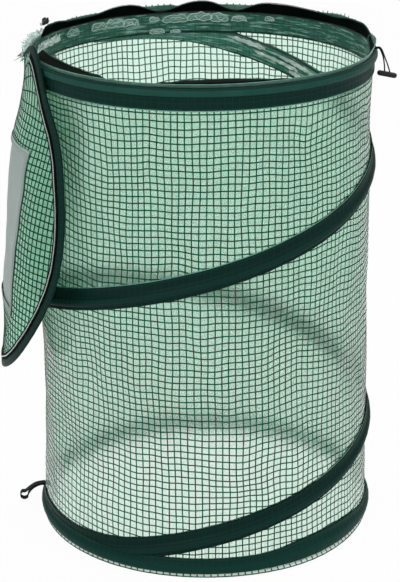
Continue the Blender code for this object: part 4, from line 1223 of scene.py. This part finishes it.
# Rim: film collar and zip
def build_collar():
    def edge(s, t):
        azimuth = 360 * s - 180
        lift, flare = collar(azimuth)
        z = RIM_LOW + (HEIGHT + lift - RIM_LOW) * t
        out = flare * step((z - RIM_TOP) / max(HEIGHT + lift - RIM_TOP, 0.001))
        ripple = 0.0006 * rough_round(azimuth, 34, 9) * step((z - RIM_TOP) / 0.002)
        return at(azimuth, wall_r(z) + out + ripple, z)

    strip(
        "rim_collar_film", 360, 12, edge, (1.40, HEIGHT - RIM_LOW), EDGE_FILM,
        ("rim", ["rim_collar"], "clear_film"), closed=True, facing=outward, thick=FILM,
    )
    bm = bmesh.new()
    for k in range(158):
        azimuth = 360 * (k + 0.5) / 158
        lift, flare = collar(azimuth)
        if lift < 0.003:
            continue
        tail = 0.25 * lift * (1 + rough(7.3 * k, 1.7))
        places = [(RIM_TOP - 0.001, 0.0), (HEIGHT + 0.5 * lift, flare / 2), (HEIGHT + lift + tail, flare)]
        points = []
        for i, (z, out) in enumerate(places):
            points.append(at(azimuth + 0.3 * rough(3.1 * k, i), wall_r(z) + out + 0.0001, z))
        yarn(bm, points, *THREAD, outward)
    yarns(bm, "rim_collar_scrim", SCRIM_YARN, "rim")

    foot = 0.6574
    for k, span in enumerate(((18, 54), (64, 88), (97, 119), (121, 162))):
        def frill(s, t):
            azimuth = share_of(span, s)
            lift, flare = collar(azimuth)
            tooth = 0.0013 * (abs(rough(2.9 * azimuth, 3.0)) + abs(rough(7.1 * azimuth, 5.0)) - 0.3)
            z = foot + (HEIGHT + lift + tooth - foot) * t
            out = flare * t - FILM - 0.0004 + 0.0008 * t * rough(0.8 * azimuth, 1.0)
            return at(azimuth, wall_r(z) + out, z)

        strip(
            f"film_frill_{k}", 4 * (span[1] - span[0]), 5, frill, (around_by(span, RIM_R), 0.010),
            FRILL_FINISH, ("rim", (), "green_tape"), facing=outward, thick=0.0003, angle=60,
        )

    # The film's top edge, paler: partly the real cut edge, partly a painted highlight
    bm = bmesh.new()
    points = []
    for k in range(360):
        lift, flare = collar(k - 180)
        z = HEIGHT + lift + 0.0003 * rough(0.21 * k, 6)
        points.append(at(k - 180, wall_r(z) + flare + 0.0004 + 0.0003 * rough(0.13 * k, 2), z))
    yarn(bm, points + [points[0].copy()], 0.0011, 0.0009, outward)
    yarns(bm, "rim_film_lip", LIP_HIGHLIGHT_FINISH, "rim", "clear_film")


def build_rim_zip():
    ends = 165

    def tape(s, t):
        azimuth = 2 * ends * s - ends
        line, away = zip_line(azimuth)
        ripple = 0.0009 * rough_round(azimuth, 11, 2) * step((t - 0.4) / 0.3)
        p = between(line, t) + Vector((away.y, -away.x)) * ripple
        return at(azimuth, p.x, p.y)

    strip(
        "rim_zip_tape_woven", 300, 20, tape, (1.27, ZIP_SEWN + ZIP_FREE), ZIP_TAPE_FINISH,
        ("rim", ["rim_zip_tape"], "black_tape", "zip"), facing=outward, thick=0.0007, offset=0.0,
    )
    points = []
    for k in range(-328, 327):
        line, away = zip_line(k / 2)
        centre = line[-1] + (GAP + ZIP_COIL_R) * away * 0.4
        points.append(at(k / 2, centre.x, centre.y))
    wound = coil("rim_zip_teeth", points, RIM_COIL_FINISH, 0.0018, ZIP_COIL_R, 0.00042, outward)
    rides(wound, "rim", ["rim_zip_coil"], "pale_coil", "zip")


def build_rim_flakes():
    # By their azimuths, their heights, and how far they stand off further in
    flakes = (
        (73, 79, 0.6420, 0.6505, 0.0), (80, 87, 0.6405, 0.6530, 0.0), (86, 95.5, 0.6425, 0.6540, 0.0005),
        (95, 105, 0.6400, 0.6520, 0.0), (106, 110, 0.6430, 0.6500, 0.0), (114, 121, 0.6400, 0.6510, 0.0005),
        (120, 128, 0.6400, 0.6530, 0.0), (128, 135, 0.6410, 0.6520, 0.0004), (104, 110, 0.6255, 0.6335, 0.0),
        (98, 102, 0.6258, 0.6310, 0.0), (141, 148, 0.6410, 0.6510, 0.0003), (62, 66, 0.6450, 0.6520, 0.0),
    )
    creases = bmesh.new()
    for k, (*span, low, high, off) in enumerate(flakes):
        def spot(azimuth, t):
            z = low + (high - low) * t
            return at(azimuth, wall_r(z) - FLAKE_IN - off - 0.001 * math.sin(math.pi * t), z)

        crushed(
            f"rim_crushed_film_{k}", span, spot, high - low, LOOSE_FILM, "rim", seed=3.3 * k, depth=0.0011,
            torn=0.45, creases=creases,
        )
    yarns(creases, "rim_film_creases", CREASE_HIGHLIGHT_FINISH, "rim", "clear_film")


build_collar()
build_rim_zip()
build_rim_flakes()


# Lid
INSET = VENT_HALF * 0.97
VENT_W = LID_R - VENT_DROP - VENT_HALF
LID_FILM_R = LID_R - BINDING_WIDTH + 0.003


def lid_disc(r, turn, h):
    """As lid_point, by distance from the lid's middle and turn from its hinge."""
    return lid_point(r * math.sin(turn), LID_R - r * math.cos(turn), h)


def mapped_flat(bm):
    """Gives a flat mesh its own shape as its UV map."""
    layer = bm.loops.layers.uv.verify()
    for face in bm.faces:
        for loop in face.loops:
            loop[layer].uv = loop.vert.co.xy


def build_lid_film():
    bm = bmesh.new()
    bmesh.ops.create_circle(bm, cap_ends=True, segments=144, radius=LID_FILM_R)
    cuts = {round(k * 0.0062, 5) for k in range(-35, 36)}
    for axis, extra in ((0, {-INSET, INSET}), (1, {VENT_W - VENT_HALF, VENT_W + VENT_HALF})):
        for c in sorted(cuts | extra):
            spot, way = [0.0, 0.0, 0.0], [0.0, 0.0, 0.0]
            spot[axis], way[axis] = c, 1.0
            geom = bm.verts[:] + bm.edges[:] + bm.faces[:]
            bmesh.ops.bisect_plane(bm, geom=geom, dist=1e-6, plane_co=spot, plane_no=way)
    gone = []
    for face in bm.faces:
        c = face.calc_center_median()
        if abs(c.x) < INSET and abs(c.y - VENT_W) < VENT_HALF:
            gone.append(face)
    bmesh.ops.delete(bm, geom=gone, context="FACES")
    mapped_flat(bm)
    for vert in bm.verts:
        vert.co = on_lid(vert.co.x, vert.co.y, 0.0)
    film = finished(bm, "lid_film", LID_FILM, facing=outward, angle=80, thick=FILM, offset=0.0)
    rides(film, "lid", ["lid_panel"], "clear_film", "lid")

    bm = bmesh.new()
    for c, half, turned in disc_threads(LID_FILM_R):
        spans = [(-half, half)]
        if not turned and abs(c) < INSET:
            spans = [(-half, VENT_W - VENT_HALF), (VENT_W + VENT_HALF, half)]
        if turned and abs(c - VENT_W) < VENT_HALF:
            spans = [(-half, -INSET), (INSET, half)]
        for a, b in spans:
            if b - a < 0.012:
                continue
            steps = max(int((b - a) / 0.010), 2)
            points = []
            for j in range(steps + 1):
                u, w = wavering(c, a + (b - a) * j / steps, turned, 0.0010, 14, 30)
                points.append(on_lid(u, w, 0.0 if turned else 0.0001))
            ribbon(bm, points, THREAD[0], outward)
    scrim = finished(
        bm, "lid_scrim", LID_SCRIM_YARN, facing=outward, thick=2.4 * THREAD[1], offset=0.0, angle=60
    )
    rides(scrim, "lid", (), "green_tape", "lid")


def build_binding():
    edge = []
    for k in range(19):
        turn = math.pi * (k / 18) - math.pi / 2
        edge.append((LID_R - 0.0020 + 0.0020 * math.cos(turn), 0.0018 * math.sin(turn)))
    ply = ((1.0, 0.0013), (0.7, 0.00165), (0.45, 0.00155))
    ply = [(LID_R - BINDING_WIDTH * share, -h) for share, h in ply]
    outline = ply + edge + [(r, -h) for r, h in ply[::-1]]

    def wrap(s, t):
        r, h = along_line(outline, t)
        turn = 2 * math.pi * s
        wave = 0.0003 * rough(20 * math.cos(turn), 20 * math.sin(turn), 30 * r)
        return lid_disc(r, turn, h + wave * (1 if h > 0 else -1))

    strip(
        "lid_binding_bound", 200, len(outline) - 1, wrap, (1.37, 0.022), BINDING_FINISH,
        ("lid", ["lid_binding"], "green_tape", "lid"), closed=True, angle=80, thick=PLY,
    )
    rings = []
    for r in (LID_R - BINDING_WIDTH + 0.0012, LID_R - 0.0045):
        rings.append((lambda d, r=r: lid_disc(r, d / r, 0.0019), 2 * math.pi * r))
    sewing("binding_stitches", rings, "lid", "lid")


def build_lid_zip():
    width = 0.008
    tape_out = LID_R - BINDING_WIDTH - GAP
    tape_in = tape_out - width
    span = first, last = 2 * math.pi * 3 / 48, 2 * math.pi * 45 / 48

    def tape(s, t):
        turn = share_of(span, s)
        wave = 0.0003 * rough(18 * math.cos(turn), 18 * math.sin(turn), 2)
        return lid_disc(tape_in + (tape_out - tape_in) * t, turn, 0.0014 + wave)

    strip(
        "lid_zip_tape_woven", 200, 3, tape, (1.2, width), ZIP_TAPE_FINISH,
        ("lid", ["lid_zip_tape"], "black_tape", "lid"), facing=outward, thick=0.0006, offset=0.0,
    )
    middle = (tape_in + tape_out) / 2
    points = []
    for k in range(241):
        turn = first + (last - first) * k / 240
        r, h = middle + 0.0007 * rough(k * 0.17, 5), 0.0024 + 0.0003 * rough(k * 0.3, 2)
        points.append(lid_disc(r, turn, h))
    wound = coil("lid_zip_teeth", points, COIL_FINISH, 0.0021, 0.75 * ZIP_COIL_R, 0.00036, outward)
    rides(wound, "lid", ["lid_zip_coil"], "pale_coil", "lid")


def build_vent():
    reach = VENT_HALF + 0.006

    def vent(s, t):
        return on_lid(reach * (2 * s - 1), VENT_W + reach * (2 * t - 1), -0.0014 + 0.0004)

    strip(
        "vent_mesh_panel", 40, 40, vent, (2 * reach, 2 * reach), VENT_FINISH,
        ("lid", ["vent_mesh"], "grey_mesh", "lid"), facing=outward, thick=0.0004, offset=0.0,
    )

    bm = bmesh.new()
    bmesh.ops.create_grid(bm, x_segments=40, y_segments=40, size=VENT_HALF + VENT_FRAME / 2)
    bmesh.ops.inset_region(
        bm, faces=bm.faces[:], thickness=VENT_FRAME, use_boundary=True, use_even_offset=True
    )
    hole = VENT_HALF - VENT_FRAME / 2
    gone = [f for f in bm.faces if max(abs(c) for c in f.calc_center_median()[:2]) < hole]
    bmesh.ops.delete(bm, geom=gone, context="FACES")
    rungs = [e for e in bm.edges if not e.is_boundary]
    bmesh.ops.subdivide_edges(bm, edges=rungs, cuts=2, use_grid_fill=True)
    mapped_flat(bm)
    for vert in bm.verts:
        u, w = vert.co.x, vert.co.y
        ring = abs(max(abs(u), abs(w)) - VENT_HALF) / (VENT_FRAME / 2)
        vert.co = on_lid(u, VENT_W + w, 0.0013 + 0.0003 * (1 - ring * ring))
    piece = finished(bm, "vent_welt", WELT_FINISH, facing=outward, thick=0.0006, offset=0.0, angle=70)
    rides(piece, "lid", ["vent_frame"], "pale_welt", "lid")

    def square(beyond, first, last):
        """A sewing line round the window's sides from first to last, as a path for stitches."""
        half = VENT_HALF + beyond
        corners = [(half, half), (-half, half), (-half, -half), (half, -half), (half, half)]

        def point(distance):
            side = min(int(distance / (2 * half)), last - first - 1)
            share = distance / (2 * half) - side
            a, b = corners[first + side], corners[first + side + 1]
            return on_lid(a[0] + (b[0] - a[0]) * share, VENT_W + a[1] + (b[1] - a[1]) * share, 0.0018)

        return point, 2 * half * (last - first) - 0.001

    beyond = (-0.0026, 0.0026)
    sewing("vent_stitches", [square(b, 0, 1) for b in beyond], "lid", "lid", "pale_welt", WHITE_STITCH_FINISH)
    sides = [square(b, 1, 4) for b in beyond]
    sewing("vent_side_stitches", sides, "lid", "lid", "pale_welt", WELT_STITCH_FINISH)


build_lid_film()
build_binding()
build_lid_zip()
build_vent()


# Hinge, seam and peg tab
def build_hinge():
    """The folded film that the lid hangs by, crushed by its seam."""
    outside = -lid_point(0, 0, BINDING_HALF + GAP).x
    path = [
        (RIM_R - FILM - 0.0012, HEIGHT - 0.0060), (RIM_R - FILM, HEIGHT + GAP),
        (RIM_R + TUNNEL / 2, HEIGHT + 2 * GAP + TAPE), (outside - TAPE, LID_TOP_Z + 2 * GAP + TAPE),
        (outside, LID_TOP_Z - 0.0010), (outside + 0.0006, LID_TOP_Z - 0.0080),
    ]
    line = [(p.x, p.y) for p in spline([(r, z, 0) for r, z in path], 40)]

    def fold(s, t):
        r, z = along_line(line, t)
        azimuth = 180 - 11.25 + 22.5 * s
        up = 0.0030 * math.sin(math.pi * t) * (0.5 + abs(rough(0.35 * azimuth, 2.0)))
        return at(azimuth, r, z + up)

    def facing(p):
        return (0.6 * outward(p) + upward(p)).normalized()

    piece = crumple(
        "lid_hinge_film", fold, (0.088, 0.026), CRUMPLED_FILM, facing, depth=0.0026, grain=(130.0, 160.0),
        cell=0.0011,
    )
    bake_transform(piece)
    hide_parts("lid_hinge_strip")

    # Scraps by their azimuths, radius, height, how tall they are and how far they lean out
    scraps = (
        (146, 163, 0.2235, 0.6555, 0.0090, 0.0030), (162, 178, 0.2245, 0.6560, 0.0095, 0.0045),
        (176, 193, 0.2265, 0.6560, 0.0085, 0.0050), (152, 170, 0.2148, 0.6400, 0.0150, 0.0010),
        (166, 186, 0.2142, 0.6360, 0.0160, 0.0010),
    )
    for k, (*span, r, z, tall, lean) in enumerate(scraps):
        def spot(azimuth, t):
            return at(azimuth, r + lean * t, z + tall * t * (0.6 + 0.9 * abs(rough(0.5 * azimuth, 9.0))))

        crushed(
            f"hinge_crushed_film_{k}", span, spot, tall, FROSTED_FILM, "rim", r=r, facing=outward,
            seed=7.0 * k, depth=0.0026, grain=(120.0, 160.0),
        )


def build_peg_tab():
    """The loop of flat webbing at the foot, sewn to the base band, that takes a ground peg."""
    top, reach, sag, apart, width = 0.0385, 0.030, 0.017, 0.0018, 0.0096
    eye = Vector((reach, 0, top - sag))
    out_way = [(GAP, 0.0), (0.25 * reach, 0.02 * sag), (0.50 * reach, 0.14 * sag), (0.72 * reach, 0.38 * sag)]
    back_way = [
        (0.70 * reach, 0.62 * sag), (0.53 * reach, 0.35 * sag), (0.28 * reach, 0.04 * sag + apart),
        (GAP, apart),
    ]
    route = [Vector((x, 0, top - drop)) for x, drop in out_way]
    for k in range(7):
        turn = math.radians(110 - 50 * k)
        route.append(eye + 0.0056 * Vector((math.cos(turn), 0, math.sin(turn))))
    route += [Vector((x, 0, top - drop)) for x, drop in back_way]
    points = spline(route, 84)
    seat = Matrix.Rotation(math.radians(-174), 4, "Z") @ Matrix.Translation((wall_r(top), 0, 0))

    def webbing(s, t):
        p = between(points, s)
        return seat @ Vector((p.x, width * (t - 0.5), p.z + 0.0002 * rough(260 * p.x, 90 * t)))

    length = sum((a - b).length for a, b in zip(points, points[1:]))
    strip(
        "peg_tab_webbing", 84, 8, webbing, (length, width), WEBBING_FINISH,
        ("strap", ["strap_loop"], "black_tape"), thick=0.0010, offset=0.0, angle=70,
    )


def build_wall_seam():
    tall = 0.624

    def seam(s, t):
        azimuth = 180 + 1.875 * (2 * s - 1)
        z = 0.0010 + tall * t
        out = dent(azimuth, z) - FILM - GAP - 0.0003 * abs(rough(90 * z, 3 * s))
        return at(azimuth, wall_r(z) + out, z)

    strip(
        "wall_seam_lapped", 4, 120, seam, (0.0148, tall), EDGE_FILM,
        ("base", ["wall_seam"], "clear_film", "wall"), facing=inward, thick=PLY,
    )

    def line(azimuth):
        def point(distance):
            z = 0.0020 + distance
            return at(azimuth, wall_r(z) + dent(azimuth, z) + 0.0003, z)

        return point, 0.618

    sewing("seam_stitches", [line(180 + side) for side in (-1.3, 1.3)], "base", "wall")


build_hinge()
build_peg_tab()
build_wall_seam()

# Small CAD pieces that stay, with their own finishes
STEEL_NODES = (
    "base_hoop_wire", "rim_hoop_wire", "base_ferrule", "rim_ferrule", "rim_zip_stop_front",
    "rim_zip_stop_rear",
)
for finish, nodes in ((STEEL_FINISH, STEEL_NODES), (METAL_FINISH, ("zip_slider", "zip_pull"))):
    for node in nodes:
        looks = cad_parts[node].data.materials
        looks.clear()
        looks.append(finish)

scene = bpy.context.scene
scene.view_settings.view_transform = "Standard"
bpy.context.view_layer.update()
